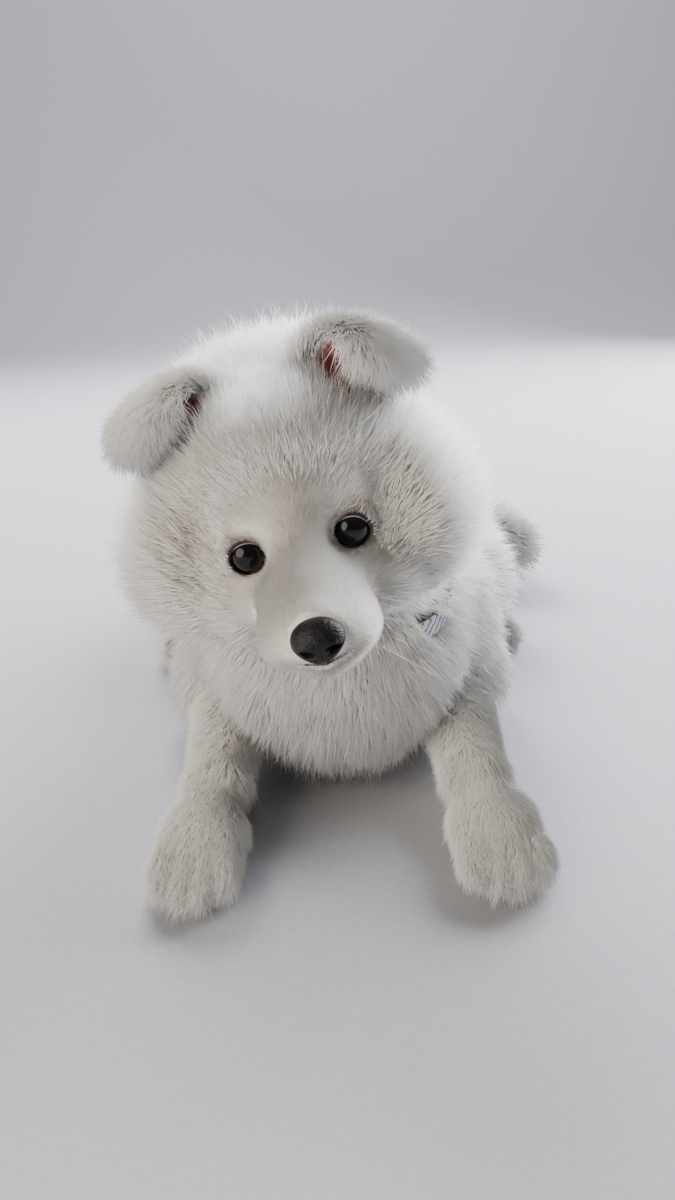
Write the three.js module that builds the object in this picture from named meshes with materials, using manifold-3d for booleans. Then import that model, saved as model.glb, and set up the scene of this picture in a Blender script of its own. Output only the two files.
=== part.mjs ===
// A samoyed puppy of about nine weeks, lying on its chest with its forelegs out in front,
// its head up and tilted to its right, and its tail curled forward on its left side.
// Millimetres, +Z up. The puppy faces -Y and its left side is +X.
import * as THREE from "three";
import { mergeVertices } from "three/addons/utils/BufferGeometryUtils.js";
import Module from "manifold-3d";

const wasm = await Module();
wasm.setup();

// Driving sizes of the bare animal, without its coat
const eyeSpacing = 45; // between the middles of the eyes
const globeRadius = 9;
const skullWidth = 90;
const skullHeight = 84;
const skullLength = 88;
const muzzleWidth = 46;
const noseReach = 50; // from the line between the eyes to the middle of the nose
const noseWidth = 21.6;
const earRise = 34;
const earWidth = 36;
const chestWidth = 112;
const chestDepth = 126;
const rumpWidth = 104;
const backLength = 214; // from the middle of the chest to the middle of the rump
const forearmLength = 100;
const pawWidth = 38;
const legRoots = { fore: 48, hind: 54 }; // from the middle of the body to where the legs begin
const toeSpread = 8.6;
const collarRadius = { across: 55, along: 50 };
const collarRise = 40; // from the chest up to the nape
const collarWidth = 10;
const collarThickness = 2.4;
const gap = 0.3; // left between pieces that touch

// Length of the coat over the skin
const coat = { face: 3.5, forehead: 13, crown: 34, muzzleSide: 8, cheek: 40, throat: 22, nape: 26,
  ruff: 34, bib: 30, back: 28, side: 30, rump: 30, thigh: 24, upperArm: 22, forearm: 12, foot: 7,
  tail: 26 };
const sides = { left: 1, right: -1 };
const vec = (x, y, z) => new THREE.Vector3(x, y, z);

// The head's own frame has its origin midway between the eyes.
const headGroup = new THREE.Group();
headGroup.position.set(-15, -100, 169);
const headNod = THREE.MathUtils.degToRad(6); // the nose down
const headTilt = THREE.MathUtils.degToRad(-12); // the left eye higher than the right
const headTurn = THREE.MathUtils.degToRad(2); // the nose a little to its left
headGroup.rotation.set(headNod, headTilt, headTurn, "ZYX");
headGroup.updateMatrix();

// Forms of flesh, each with the length of its coat: balls and tapered rods with round ends
const ball = (x, y, z, rx, ry, rz, length) => ({ at: vec(x, y, z), size: vec(rx, ry, rz), length });
const rod = (from, to, r0, r1, length) => ({ from, to, r0, r1, length });

function formDistance(form, p) {
  if (form.size) {
    const scaled = p.clone().sub(form.at).divide(form.size);
    const k0 = scaled.length();
    const k1 = scaled.divide(form.size).length();
    return k1 < 1e-9 ? -form.size.x : (k0 * (k0 - 1)) / k1;
  }
  const along = form.to.clone().sub(form.from);
  const out = p.clone().sub(form.from);
  const t = THREE.MathUtils.clamp(out.dot(along) / along.lengthSq(), 0, 1);
  return out.addScaledVector(along, -t).length() - THREE.MathUtils.lerp(form.r0, form.r1, t);
}

// Distance of p from the skin: the forms melted into each other
function skinDistance(forms, melt, p) {
  let near = formDistance(forms[0], p);
  for (const form of forms.slice(1)) {
    const d = formDistance(form, p);
    const mix = Math.max(melt - Math.abs(near - d), 0) / melt;
    near = Math.min(near, d) - (mix * mix * melt) / 4;
  }
  return near;
}

// Length of the coat at p: that of the nearest forms, blended
function coatLength(forms, p) {
  const blend = 10;
  let sum = 0;
  let weight = 0;
  for (const form of forms) {
    const w = Math.exp(-Math.max(formDistance(form, p), -20) / blend);
    sum += w * form.length;
    weight += w;
  }
  return sum / weight;
}

// A long coat has a core under its locks, half as deep as the coat. A short coat is all core.
const shortCoat = 12;
const longCoat = 18;
const coreDepth = (length) =>
  length * THREE.MathUtils.lerp(1, 0.5, THREE.MathUtils.smoothstep(length, shortCoat, longCoat));

// A piece of the body: its forms, how softly they melt, the line its surface is drawn round,
// and the planes that it ends at, each with a normal into the piece
const hidePiece = (forms, melt, spine, around, along, ends = [], length = coatLength) =>
  ({ forms, melt, spine, around, along, ends, length });
const outside = (piece) => (p) =>
  skinDistance(piece.forms, piece.melt, p) - coreDepth(piece.length(piece.forms, p));

// Where the ray from the piece's line in the direction of a unit vector leaves the field.
// The vector's y runs along the line, from its start at +1 to its end at -1.
function surfacePoint(piece, field, x, y, z) {
  const t = (1 - y) / 2;
  const origin = piece.spine.getPoint(t);
  const ahead = piece.spine.getTangent(t);
  const side = vec(0, 0, 1).cross(ahead).normalize();
  const up = ahead.clone().cross(side);
  const ray = side.multiplyScalar(x).addScaledVector(ahead, -y).addScaledVector(up, z).normalize();
  const at = (r) => origin.clone().addScaledVector(ray, r);
  const reach = 240;
  const halvings = 18;
  let inside = 0;
  let outer = 0;
  for (let d = field(at(0)); d < 0 && outer < reach; d = field(at(outer))) {
    inside = outer;
    outer += Math.max(-d * 0.7, 0.5);
  }
  for (let i = 0; i < halvings; i++) {
    const middle = (inside + outer) / 2;
    if (field(at(middle)) < 0) inside = middle;
    else outer = middle;
  }
  return at(inside);
}

// A sphere drawn out to the surface of a piece
function wrap(piece, field) {
  const skin = new THREE.SphereGeometry(1, piece.around, piece.along);
  const at = skin.getAttribute("position");
  const seam = (x) => Math.round(x * 1e6) / 1e6; // the two ends of a ring meet exactly
  for (let i = 0; i < at.count; i++) {
    const p = surfacePoint(piece, field, seam(at.getX(i)), seam(at.getY(i)), seam(at.getZ(i)));
    at.setXYZ(i, p.x, p.y, p.z);
  }
  return solid(skin);
}

// A closed geometry as a solid that can be joined and cut
function solid(geometry) {
  const bare = new THREE.BufferGeometry();
  bare.setAttribute("position", geometry.getAttribute("position"));
  bare.setIndex(geometry.index);
  const merged = mergeVertices(bare, 1e-4);
  return new wasm.Manifold(new wasm.Mesh({ numProp: 3,
    vertProperties: new Float32Array(merged.getAttribute("position").array),
    triVerts: new Uint32Array(merged.index.array) }));
}

function ellipsoid(at, size, around = 14, along = 9) {
  const round = new THREE.SphereGeometry(1, around, along);
  round.scale(size.x, size.y, size.z);
  round.translate(at.x, at.y, at.z);
  return solid(round);
}

// A rod of round section along points on a surface
function cord(points, radius, steps = 10) {
  const section = new THREE.Shape();
  section.absarc(0, 0, radius, 0, Math.PI * 2);
  const path = new THREE.CatmullRomCurve3(points);
  return solid(new THREE.ExtrudeGeometry(section, { steps, curveSegments: 6, extrudePath: path }));
}

// Head, in its own frame: skull, brows, cheeks, muzzle, lips and jaw
const faceMiddle = vec(0, -16, -8);
const shortHair = [25, 60]; // the coat lengthens between these distances from the face's middle
const headForms = [
  ball(0, 44, 8, skullWidth / 2, skullLength / 2, skullHeight / 2, coat.crown),
  ball(0, 20, 20, 33, 26, 24, coat.forehead),
  ball(0, 66, -4, 34, 26, 30, coat.nape),
  ball(0, 22, -30, 28, 32, 18, coat.throat),
  ball(0, -8, -18, muzzleWidth / 2, 26, 18, coat.face),
  rod(vec(0, 0, -6), vec(0, 10 - noseReach, -15), 13, 8.5, coat.face),
  ball(0, -26, -35, 12, 19, 8, coat.face),
  ...[1, -1].flatMap((s) => [
    ball(s * 17, 6, 11, 11, 9, 8, coat.face),
    ball(s * 25, 11, -23, 18, 20, 18, coat.muzzleSide),
    ball(s * 33, 32, -13, 24, 29, 26, coat.cheek),
    ball(s * 10, -31, -25, 13.5, 16, 12, coat.face),
  ]),
];
const headSpine = new THREE.LineCurve3(vec(0, 66, 2), vec(0, -32, -22));
function headCoat(forms, p) {
  const away = THREE.MathUtils.smoothstep(p.distanceTo(faceMiddle), ...shortHair);
  return THREE.MathUtils.lerp(coat.face, coatLength(forms, p), away);
}
const headPiece = hidePiece(headForms, 10, headSpine, 26, 20, [], headCoat);

const eyeAt = (s) => vec((s * eyeSpacing) / 2, 3, 0);
const globe = (s, grow = 0) =>
  ellipsoid(eyeAt(s), vec(1, 1, 1).multiplyScalar(globeRadius + grow));

// The opening between the lids is an almond of two arcs.
const lidOpening = { width: 16, height: 15.4, depth: 30, outerCornerLift: 6 };
const lidThickness = 1.6;
function eyeOpening(s) {
  const { width, height, depth } = lidOpening;
  const almond = new THREE.Shape();
  almond.moveTo(-width / 2, 0);
  almond.quadraticCurveTo(-width / 2, height / 2, 0, height / 2);
  almond.quadraticCurveTo(width / 2, height / 2, width / 2, 0);
  almond.quadraticCurveTo(width / 2, -height / 2, 0, -height / 2);
  almond.quadraticCurveTo(-width / 2, -height / 2, -width / 2, 0);
  const cut = new THREE.ExtrudeGeometry(almond, { depth, bevelEnabled: false, curveSegments: 3 });
  cut.rotateZ(THREE.MathUtils.degToRad(s * lidOpening.outerCornerLift));
  cut.rotateX(Math.PI / 2);
  cut.translate(...eyeAt(s).toArray());
  return solid(cut);
}

const noseAt = vec(0, -noseReach, -19.5);
const noseSize = vec(noseWidth / 2, 8, 9.4);
function nose(grow = 0) {
  const pad = ellipsoid(noseAt, noseSize.clone().addScalar(grow), 16, 10);
  if (grow) return pad;
  return Object.values(sides).reduce((made, s) => {
    const nostril = ellipsoid(vec(0, 0, 0), vec(3, 3.4, 1.7), 7, 5)
      .rotate([0, s * 38, 0]).translate([s * 4.8, noseAt.y - 6.6, noseAt.z - 1.5]);
    return made.subtract(nostril);
  }, pad);
}

// The line of the mouth runs back from under the nose on each side, between raised lips.
const mouthTurn = THREE.MathUtils.degToRad(62);
function mouthLine(field) {
  return [-1, -0.75, -0.5, -0.25, 0, 0.25, 0.5, 0.75, 1].map((k) => {
    const turn = k * mouthTurn;
    const drop = -0.3 + 0.16 * Math.abs(k) - 0.05 * Math.cos(turn * 4);
    const level = -Math.cos(turn) * Math.cos(drop);
    return surfacePoint({ spine: new THREE.LineCurve3(vec(0, -20, -24), vec(0, -24, -24)) }, field,
      -Math.sin(turn) * Math.cos(drop), level, Math.sin(drop));
  });
}

function head(grow = 0) {
  const field = (p) => outside(headPiece)(p) - grow;
  let made = wrap(headPiece, field);
  const lips = mouthLine(field);
  if (!grow) made = made.add(cord(lips, 1.6)).subtract(cord(lips, 0.7));
  for (const s of Object.values(sides)) {
    made = made.add(globe(s, lidThickness + grow));
    if (!grow) made = made.subtract(eyeOpening(s));
  }
  return made;
}

// Ears: a leaf that rises from the skull, cupped, and folds forward over its own cup
const earLean = { [sides.left]: 0.5, [sides.right]: 0.2 }; // the left ear leans further out
function earFrame(s) {
  const up = vec(s * earLean[s], 0.1, 0.9).normalize();
  const front = vec(s * 0.38, -1, 0).projectOnPlane(up).normalize();
  return { up, front, across: up.clone().cross(front).multiplyScalar(-s) };
}

function earPath(s) {
  const root = vec(s * 28, 42, 39);
  const { up, front } = earFrame(s);
  const course = [[0, 0], [0.5, -4], [0.92, 1], [1, 12], [0.82, 21], [0.52, 26]];
  return new THREE.CatmullRomCurve3(course.map(([rise, forward]) =>
    root.clone().addScaledVector(up, rise * earRise).addScaledVector(front, forward)));
}

function ear(s, grow = 0) {
  const { front, across } = earFrame(s);
  const path = earPath(s);
  const thickness = 5 + grow;
  const leaf = new THREE.SphereGeometry(1, 12, 14);
  const at = leaf.getAttribute("position");
  for (let i = 0; i < at.count; i++) {
    const [x, y, z] = [at.getX(i), at.getY(i), at.getZ(i)];
    const t = (1 - y) / 2;
    const edge = Math.min(1, Math.hypot(x, z) * 1.6);
    const round = Math.hypot(x, z) || 1;
    const wide = (earWidth / 2) * (1 - t ** 4.5) ** 0.75 + grow;
    const ahead = path.getTangent(t);
    const normal = ahead.clone().cross(across).normalize();
    const cup = 9 * (1 - t) * (x / round) ** 2;
    const p = path.getPoint(t).addScaledVector(across, (x / round) * wide * edge)
      .addScaledVector(normal, (z / round) * thickness * edge).addScaledVector(front, cup * edge)
      .addScaledVector(ahead, -y * Math.abs(y) ** 6 * thickness);
    at.setXYZ(i, p.x, p.y, p.z);
  }
  return solid(leaf);
}

// Neck
const nape = vec(-10, -18, 140);
const withers = vec(-3, 32, 108);
const neckPiece = hidePiece([rod(nape, withers, 34, 46, coat.ruff)], 14,
  new THREE.LineCurve3(nape, withers), 18, 8, [new THREE.Plane().setFromNormalAndCoplanarPoint(
    nape.clone().sub(withers).normalize(), withers)]);

// Collar: a flat band that hangs loose in the coat, level over the chest and up over the nape
const collarAt = vec(8, 2, 96);
function band(inner, outer, width) {
  const profile = [[inner, -1], [outer, -1], [outer, 1], [inner, 1], [inner, -1]].map(([r, h]) =>
    new THREE.Vector2(r, (h * width) / 2));
  const ring = new THREE.LatheGeometry(profile, 32);
  ring.scale(1, 1, collarRadius.along / collarRadius.across);
  ring.rotateX(Math.PI / 2);
  const at = ring.getAttribute("position");
  for (let i = 0; i < at.count; i++) {
    const back = THREE.MathUtils.smoothstep(at.getY(i), -collarRadius.along, collarRadius.along);
    at.setZ(i, at.getZ(i) + collarRise * back);
  }
  ring.translate(...collarAt.toArray());
  return solid(ring);
}
const collar = (grow = 0) => band(collarRadius.across - grow * 1.3,
  collarRadius.across + collarThickness + grow * 1.3, collarWidth + 2 * grow);

// Torso: chest between the shoulders, barrel, loin and rump
const chest = vec(0, 48, 72);
const rump = vec(0, chest.y + backLength, 66);
const torsoForms = [
  ball(chest.x, chest.y, chest.z, chestWidth / 2, 66, chestDepth / 2, coat.side),
  ball(0, 22, 100, 42, 42, 38, coat.back),
  ball(-2, -8, 74, 42, 34, 42, coat.bib),
  ball(0, 140, 70, chestWidth / 2 - 1, 80, chestDepth / 2 - 5, coat.side),
  ball(0, rump.y - 48, 70, rumpWidth / 2, 60, 54, coat.back),
  ball(rump.x, rump.y, rump.z, 40, 32, 44, coat.rump),
];
const torsoPiece = hidePiece(torsoForms, 24,
  new THREE.LineCurve3(vec(0, rump.y - 10, 68), vec(0, 10, 74)), 18, 13);

// Four toes side by side, the middle two ahead
const toes = (paw, s, size) => [-1.45, -0.5, 0.5, 1.45].map((k) =>
  ball(paw.x + k * toeSpread + s * 2, paw.y - 26 + 3.4 * k * k, paw.z - 4, ...size, coat.foot));

// Forelegs: shoulder and upper arm, then forearm out in front with a broad paw
function foreleg(s) {
  const shoulder = vec(s * 44, 38, 84);
  const elbow = vec(s * 64, 46, 38);
  const wrist = elbow.clone().add(vec(s * 3, -forearmLength, -14));
  const paw = wrist.clone().add(vec(s * 4, -37, -7));
  const upper = hidePiece([rod(shoulder, elbow, 25, 22, coat.upperArm)], 8,
    new THREE.LineCurve3(elbow, shoulder), 12, 8, [new THREE.Plane(vec(s, 0, 0), -legRoots.fore)]);
  const lower = hidePiece([
    rod(elbow, wrist, 17, 13, coat.forearm),
    rod(wrist, paw, 13, 12, coat.foot),
    ball(paw.x, paw.y, paw.z, pawWidth / 2, 28, 13, coat.foot),
    ...toes(paw, s, [6, 12, 8.5]),
  ], 10, new THREE.LineCurve3(paw.clone().add(vec(s * 2, -20, -2)), elbow), 14, 15);
  return [upper, lower];
}

// Hind legs: thigh, and the shank folded back to the hock with the foot flat on the floor
function thigh(s) {
  const hip = vec(s * 46, rump.y - 30, 78);
  const knee = vec(s * 82, rump.y - 100, 46);
  return [hidePiece([rod(hip, knee, 38, 27, coat.thigh)], 8, new THREE.LineCurve3(knee, hip), 14, 8,
    [new THREE.Plane(vec(s, 0, 0), -legRoots.hind)])];
}

function foot(s) {
  const hock = vec(s * 90, rump.y - 16, 22);
  const paw = vec(s * 104, rump.y - 98, 15);
  const forms = [
    rod(hock, paw, 11, 11, coat.forearm),
    ball(paw.x, paw.y, paw.z, pawWidth / 2 - 2, 24, 11, coat.foot),
    ...toes(paw, s, [5.6, 10, 8]),
  ];
  return [hidePiece(forms, 10, new THREE.LineCurve3(paw.clone().add(vec(0, -20, -2)), hock), 14, 12)];
}

// Tail: off the rump, out to the left and forward again along the floor, in two lengths
const tailPath = new THREE.CatmullRomCurve3([
  vec(0, rump.y + 20, 84), vec(10, rump.y + 50, 74), vec(44, rump.y + 76, 54),
  vec(88, rump.y + 80, 42), vec(124, rump.y + 52, 37), vec(140, rump.y + 8, 36)]);
const tailPart = 0.52;
function tail(from, to) {
  const points = [1, 0.75, 0.5, 0.25, 0].map((k) => tailPath.getPoint(THREE.MathUtils.lerp(from, to, k)));
  const forms = points.slice(1).map((p, i) => rod(points[i], p, 8, 9, coat.tail));
  return [hidePiece(forms, 6, new THREE.CatmullRomCurve3(points), 10, 8)];
}

// Every piece with a coat, for locks that run on from one piece over the next
const toBody = headGroup.matrix;
const toHead = toBody.clone().invert();
const own = new THREE.Matrix4();
const pieces = {
  head: [headPiece],
  neck: [neckPiece],
  foreleg_left: foreleg(sides.left),
  foreleg_right: foreleg(sides.right),
  foot_left: foot(sides.left),
  foot_right: foot(sides.right),
  thigh_left: thigh(sides.left),
  thigh_right: thigh(sides.right),
  torso: [torsoPiece],
  tail_root: tail(0, tailPart),
  tail_tip: tail(tailPart + 0.01, 1),
};
const placed = Object.entries(pieces).flatMap(([node, list]) =>
  list.map((piece) => ({ node, piece, toPiece: node === "head" ? toHead : own })));

// Distance from the whole animal's skin at p, and the length of its coat there
function wholeSkin(p) {
  const melt = 12;
  let near = Infinity;
  let sum = 0;
  let weight = 0;
  for (const { piece, toPiece } of placed) {
    const q = p.clone().applyMatrix4(toPiece);
    if (piece.ends.some((plane) => plane.distanceToPoint(q) < -melt)) continue;
    const d = skinDistance(piece.forms, piece.melt, q);
    const w = Math.exp(-Math.max(d, -20) / melt);
    sum += w * piece.length(piece.forms, q);
    weight += w;
    const mix = near === Infinity ? 0 : Math.max(melt - Math.abs(near - d), 0) / melt;
    near = Math.min(near, d) - (mix * mix * melt) / 4;
  }
  return { distance: near, length: sum / weight };
}

function outward(p) {
  const step = 0.8;
  const slope = (dx, dy, dz) => wholeSkin(p.clone().add(vec(dx, dy, dz))).distance -
    wholeSkin(p.clone().sub(vec(dx, dy, dz))).distance;
  return vec(slope(step, 0, 0), slope(0, step, 0), slope(0, 0, step)).normalize();
}

// Random numbers from 0 to 1 that are the same on every run
function randomFrom(seed) {
  let state = seed;
  return () => {
    state = (state * 1664525 + 1013904223) % 4294967296;
    return state / 4294967296;
  };
}

// The course of one lock: from its root in the core out to the tips, along the lie
const lockSteps = 3;
const lockSink = 5;
const clearOfFloor = 3;
function lockCourse(root, lie, size, sway) {
  const course = [];
  let at = root.clone();
  let ahead = lie.clone();
  for (let i = 0; i <= lockSteps; i++) {
    const t = i / lockSteps;
    let out;
    for (let pass = 0; pass < 2; pass++) {
      const { distance, length } = wholeSkin(at);
      out = outward(at);
      const height = THREE.MathUtils.lerp(coreDepth(length) - lockSink, length, t ** 0.75);
      at.addScaledVector(out, height - distance);
    }
    ahead.projectOnPlane(out).normalize();
    if (i > 0 && at.z < clearOfFloor) {
      at.z = clearOfFloor;
      ahead.z = Math.max(ahead.z, 0);
      ahead.normalize();
    }
    const side = ahead.clone().cross(out);
    ahead.addScaledVector(side, sway).normalize();
    course.push({ at: at.clone(), out, side: ahead.clone().cross(out), ahead: ahead.clone() });
    at = at.clone().addScaledVector(ahead, size.length / lockSteps);
  }
  return { course, size };
}

// A lock is a flat, tapered cone with its ridge outwards.
const lockShape = [0.5, 1, 0.78, 0];
function lockSolid({ course, size }, grow) {
  const cone = new THREE.ConeGeometry(1, 1, 3, lockSteps);
  const at = cone.getAttribute("position");
  for (let i = 0; i < at.count; i++) {
    const step = Math.round((at.getY(i) + 0.5) * lockSteps);
    const { at: centre, out, side, ahead } = course[step];
    const radius = 1 - step / lockSteps;
    const across = radius ? at.getX(i) / radius / Math.cos(Math.PI / 6) : 0;
    const rise = radius ? at.getZ(i) / radius : 0;
    const thinEdge = (2.2 * grow) / size.thickness; // the share by which a thin edge moves out
    const wide = (size.width / 2) * (lockShape[step] + (radius ? thinEdge : 0));
    const high = rise > 0.9 ? size.thickness * lockShape[step] + grow : rise < -0.4 ? -grow : 0;
    const beyond = radius ? 0 : (size.length / lockSteps) * thinEdge * 1.4;
    const p = centre.clone().addScaledVector(side, across * wide).addScaledVector(out, high)
      .addScaledVector(ahead, beyond);
    at.setXYZ(i, p.x, p.y, p.z);
  }
  return solid(cone);
}

// Even places for roots over a piece: rows a step apart, and points a step apart round each row
function rootPlaces(piece, size, random) {
  const field = outside(piece);
  const fine = 48;
  const round = (y, turn) => {
    const r = Math.sqrt(Math.max(1 - y * y, 0));
    return surfacePoint(piece, field, r * Math.sin(turn), y, r * Math.cos(turn));
  };
  const spread = (pointAt, step, shift) => {
    const sums = [0];
    for (let i = 1; i <= fine; i++) {
      sums.push(sums[i - 1] + pointAt((i - 1) / fine).distanceTo(pointAt(i / fine)));
    }
    const count = Math.max(Math.round(sums[fine] / step), 1);
    return Array.from({ length: count }, (_, k) => {
      const aim = ((k + shift) / count) * sums[fine];
      const i = Math.max(sums.findIndex((sum) => sum > aim), 1);
      return (i - 1 + (aim - sums[i - 1]) / (sums[i] - sums[i - 1])) / fine;
    });
  };
  const rows = spread((k) => round(Math.cos(k * Math.PI), 1.2), size.row, 0.5);
  return rows.flatMap((row, i) => {
    const y = Math.cos(row * Math.PI);
    const turns = spread((k) => round(y, k * Math.PI * 2), size.spacing, i % 2 ? 0.5 : 0.01);
    return turns.map((turn) => round(y, (turn + (random() - 0.5) * 0.01) * Math.PI * 2));
  });
}

// Locks of a node, in the body's frame
const coatSizes = {
  head: { length: 43, width: 28, thickness: 3.9, row: 26, spacing: 27 },
  body: { length: 62, width: 38, thickness: 5, row: 39, spacing: 40 },
  neck: { length: 56, width: 34, thickness: 4.6, row: 33, spacing: 35 },
  leg: { length: 51, width: 33, thickness: 4.6, row: 32, spacing: 34 },
};
const bellyHeight = 60; // below this no lock hangs under the body
const lowestRoot = 10;
const shorter = [1, 0.75, 0.55]; // shares of its length that a lock is tried at
const leastLength = 16; // a shorter coat has no locks
const backAndDown = (forward, down) => () => vec(0, forward, -down);
const coats = {
  head: { size: coatSizes.head, seed: 11,
    lie: (p) => p.clone().sub(noseAt.clone().applyMatrix4(toBody)).add(vec(0, 0, -15)) },
  neck: { size: coatSizes.neck, seed: 12, lie: backAndDown(1, 0.9) },
  foreleg_left: { size: coatSizes.leg, seed: 13, lie: backAndDown(0.25, 1) },
  foreleg_right: { size: coatSizes.leg, seed: 14, lie: backAndDown(0.25, 1) },
  thigh_left: { size: coatSizes.body, seed: 15, lie: backAndDown(1, 0.8) },
  thigh_right: { size: coatSizes.body, seed: 16, lie: backAndDown(1, 0.8) },
  torso: { size: coatSizes.body, seed: 17, lie: (p) => {
    const bib = 1 - THREE.MathUtils.smoothstep(p.y, -20, 40);
    return vec(0, 1 - bib, -0.4 - bib);
  } },
  tail_root: { size: coatSizes.leg, seed: 18, lie: alongTail },
  tail_tip: { size: coatSizes.leg, seed: 19, lie: alongTail },
};
function alongTail(p) {
  const parts = 40;
  let best = 0;
  for (let i = 0; i <= parts; i++) {
    const nearer = tailPath.getPoint(i / parts).distanceTo(p) < tailPath.getPoint(best).distanceTo(p);
    if (nearer) best = i / parts;
  }
  return tailPath.getTangent(best);
}

// A body less every one of the cutters that reach its box
function boxOf(body) {
  const { min, max } = body.boundingBox();
  return new THREE.Box3(vec(...min), vec(...max));
}
const asCutter = (body) => ({ body, box: boxOf(body) });
function cutClear(body, cutters) {
  const box = boxOf(body);
  const near = cutters.filter((cutter) => cutter.box.intersectsBox(box));
  return near.reduce((made, cutter) => made.subtract(cutter.body), body);
}

// A lock is kept where it stays whole when it is cut clear of the nodes before it
const keptShare = 0.9;
const leastFill = 0.22; // of its length, width and thickness multiplied: less is a crumpled lock
function standsClear(lock, before) {
  if (lock.course.some(({ at }) => nearEar(at))) return false;
  const whole = lockSolid(lock, 0);
  const { length, width, thickness } = lock.size;
  if (whole.volume() < leastFill * length * width * thickness) return false;
  const left = cutClear(whole, before);
  return left.volume() > keptShare * whole.volume() && left.decompose().length === 1;
}

// Whether a root lies under the core of another node
const isBuried = (node, root) => placed.some((other) => {
  if (other.node === node) return false;
  const q = root.clone().applyMatrix4(other.toPiece);
  const within = other.piece.ends.every((plane) => plane.distanceToPoint(q) > 0);
  return within && outside(other.piece)(q) < -1;
});

function locksOf(node, before) {
  if (!coats[node]) return [];
  const { size, seed, lie } = coats[node];
  const random = randomFrom(seed);
  const vary = (amount) => 1 + (random() - 0.5) * 2 * amount;
  const inWorld = node === "head" ? toBody : own;
  const found = [];
  for (const piece of pieces[node]) {
    for (const place of rootPlaces(piece, size, random)) {
      const root = place.applyMatrix4(inWorld);
      const lockSize = { ...size, length: size.length * vary(0.15), width: size.width * vary(0.12) };
      const sway = (random() - 0.5) * 0.5;
      if (wholeSkin(root).length < leastLength) continue;
      if (root.z < lowestRoot || (root.z < bellyHeight && outward(root).z < -0.6)) continue;
      const local = root.clone().applyMatrix4(inWorld.clone().invert());
      if (piece.ends.some((plane) => plane.distanceToPoint(local) < 0)) continue;
      if (isBuried(node, root)) continue;
      const fitting = shorter.map((share) => lockCourse(root, lie(root),
        { ...lockSize, length: lockSize.length * share }, sway)).find((lock) => standsClear(lock, before));
      if (fitting) found.push(fitting);
    }
  }
  return found;
}

function nearEar(p) {
  const q = p.clone().applyMatrix4(toHead);
  const close = (point) => point.distanceTo(q) < earWidth / 2 + 1;
  return Object.values(sides).some((s) => earPath(s).getPoints(8).some(close));
}

const floor = new THREE.Plane(vec(0, 0, 1), 0);
const trim = (made, plane, grow) => made.trimByPlane(plane.normal.toArray(), -plane.constant - grow);
const hide = (node) => (grow) => pieces[node].map((piece) => piece.ends.reduce(
  (made, plane) => trim(made, plane, grow), wrap(piece, (p) => outside(piece)(p) - grow)))
  .reduce((made, other) => made.add(other));

const inHead = {
  eye_left: (grow) => globe(sides.left, grow),
  eye_right: (grow) => globe(sides.right, grow),
  nose,
  head,
  ear_left: (grow) => ear(sides.left, grow),
  ear_right: (grow) => ear(sides.right, grow),
};
const order = ["eye_left", "eye_right", "nose", "collar", "head", "ear_left", "ear_right", "neck",
  "foreleg_left", "foreleg_right", "foot_left", "foot_right", "thigh_left", "thigh_right", "torso",
  "tail_root", "tail_tip"];

const finish = {
  fur: new THREE.MeshStandardMaterial({ color: 0xece7de, roughness: 0.95 }),
  eye: new THREE.MeshStandardMaterial({ color: 0x16120f, roughness: 0.08 }),
  nose: new THREE.MeshStandardMaterial({ color: 0x1b191b, roughness: 0.45 }),
  webbing: new THREE.MeshStandardMaterial({ color: 0x6d6478, roughness: 0.85 }),
};
const finishOf = { eye_left: "eye", eye_right: "eye", nose: "nose", collar: "webbing" };

// Each piece is cut clear of those before it, and keeps its largest closed surface
const puppy = new THREE.Group();
puppy.name = "samoyed_puppy";
puppy.add(headGroup);
const before = [];
for (const name of order) {
  const ownHead = name in inHead;
  const make = inHead[name] ?? (name === "collar" ? collar : hide(name));
  const frameOf = (made) => (ownHead ? made.transform(toBody.toArray()) : made);
  const locks = locksOf(name, before);
  const dressed = (grow) =>
    locks.reduce((made, lock) => made.add(lockSolid(lock, grow)), frameOf(make(grow)));
  const whole = dressed(0);
  const cut = cutClear(trim(whole, floor, 0), before);
  const surfaces = cut.decompose().sort((a, b) => b.volume() - a.volume());
  before.push(asCutter(dressed(gap)), asCutter(surfaces[0]));
  const kept = ownHead ? surfaces[0].transform(toHead.toArray()) : surfaces[0];
  const mesh = kept.getMesh();
  const geometry = new THREE.BufferGeometry();
  geometry.setAttribute("position", new THREE.BufferAttribute(mesh.vertProperties, 3));
  geometry.setIndex(new THREE.BufferAttribute(mesh.triVerts, 1));
  const node = new THREE.Mesh(geometry, finish[finishOf[name] ?? "fur"]);
  node.name = name;
  (ownHead ? headGroup : puppy).add(node);
}

// The origin is on the floor, at the middle of the puppy's box.
const box = new THREE.Box3().setFromObject(puppy, true);
const middle = box.getCenter(vec(0, 0, 0));
puppy.position.set(-middle.x, -middle.y, 0);
puppy.updateMatrixWorld(true);

export default puppy;
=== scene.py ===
import math
import bmesh
import bpy
import numpy as np
from mathutils import Matrix, Vector, kdtree


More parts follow.
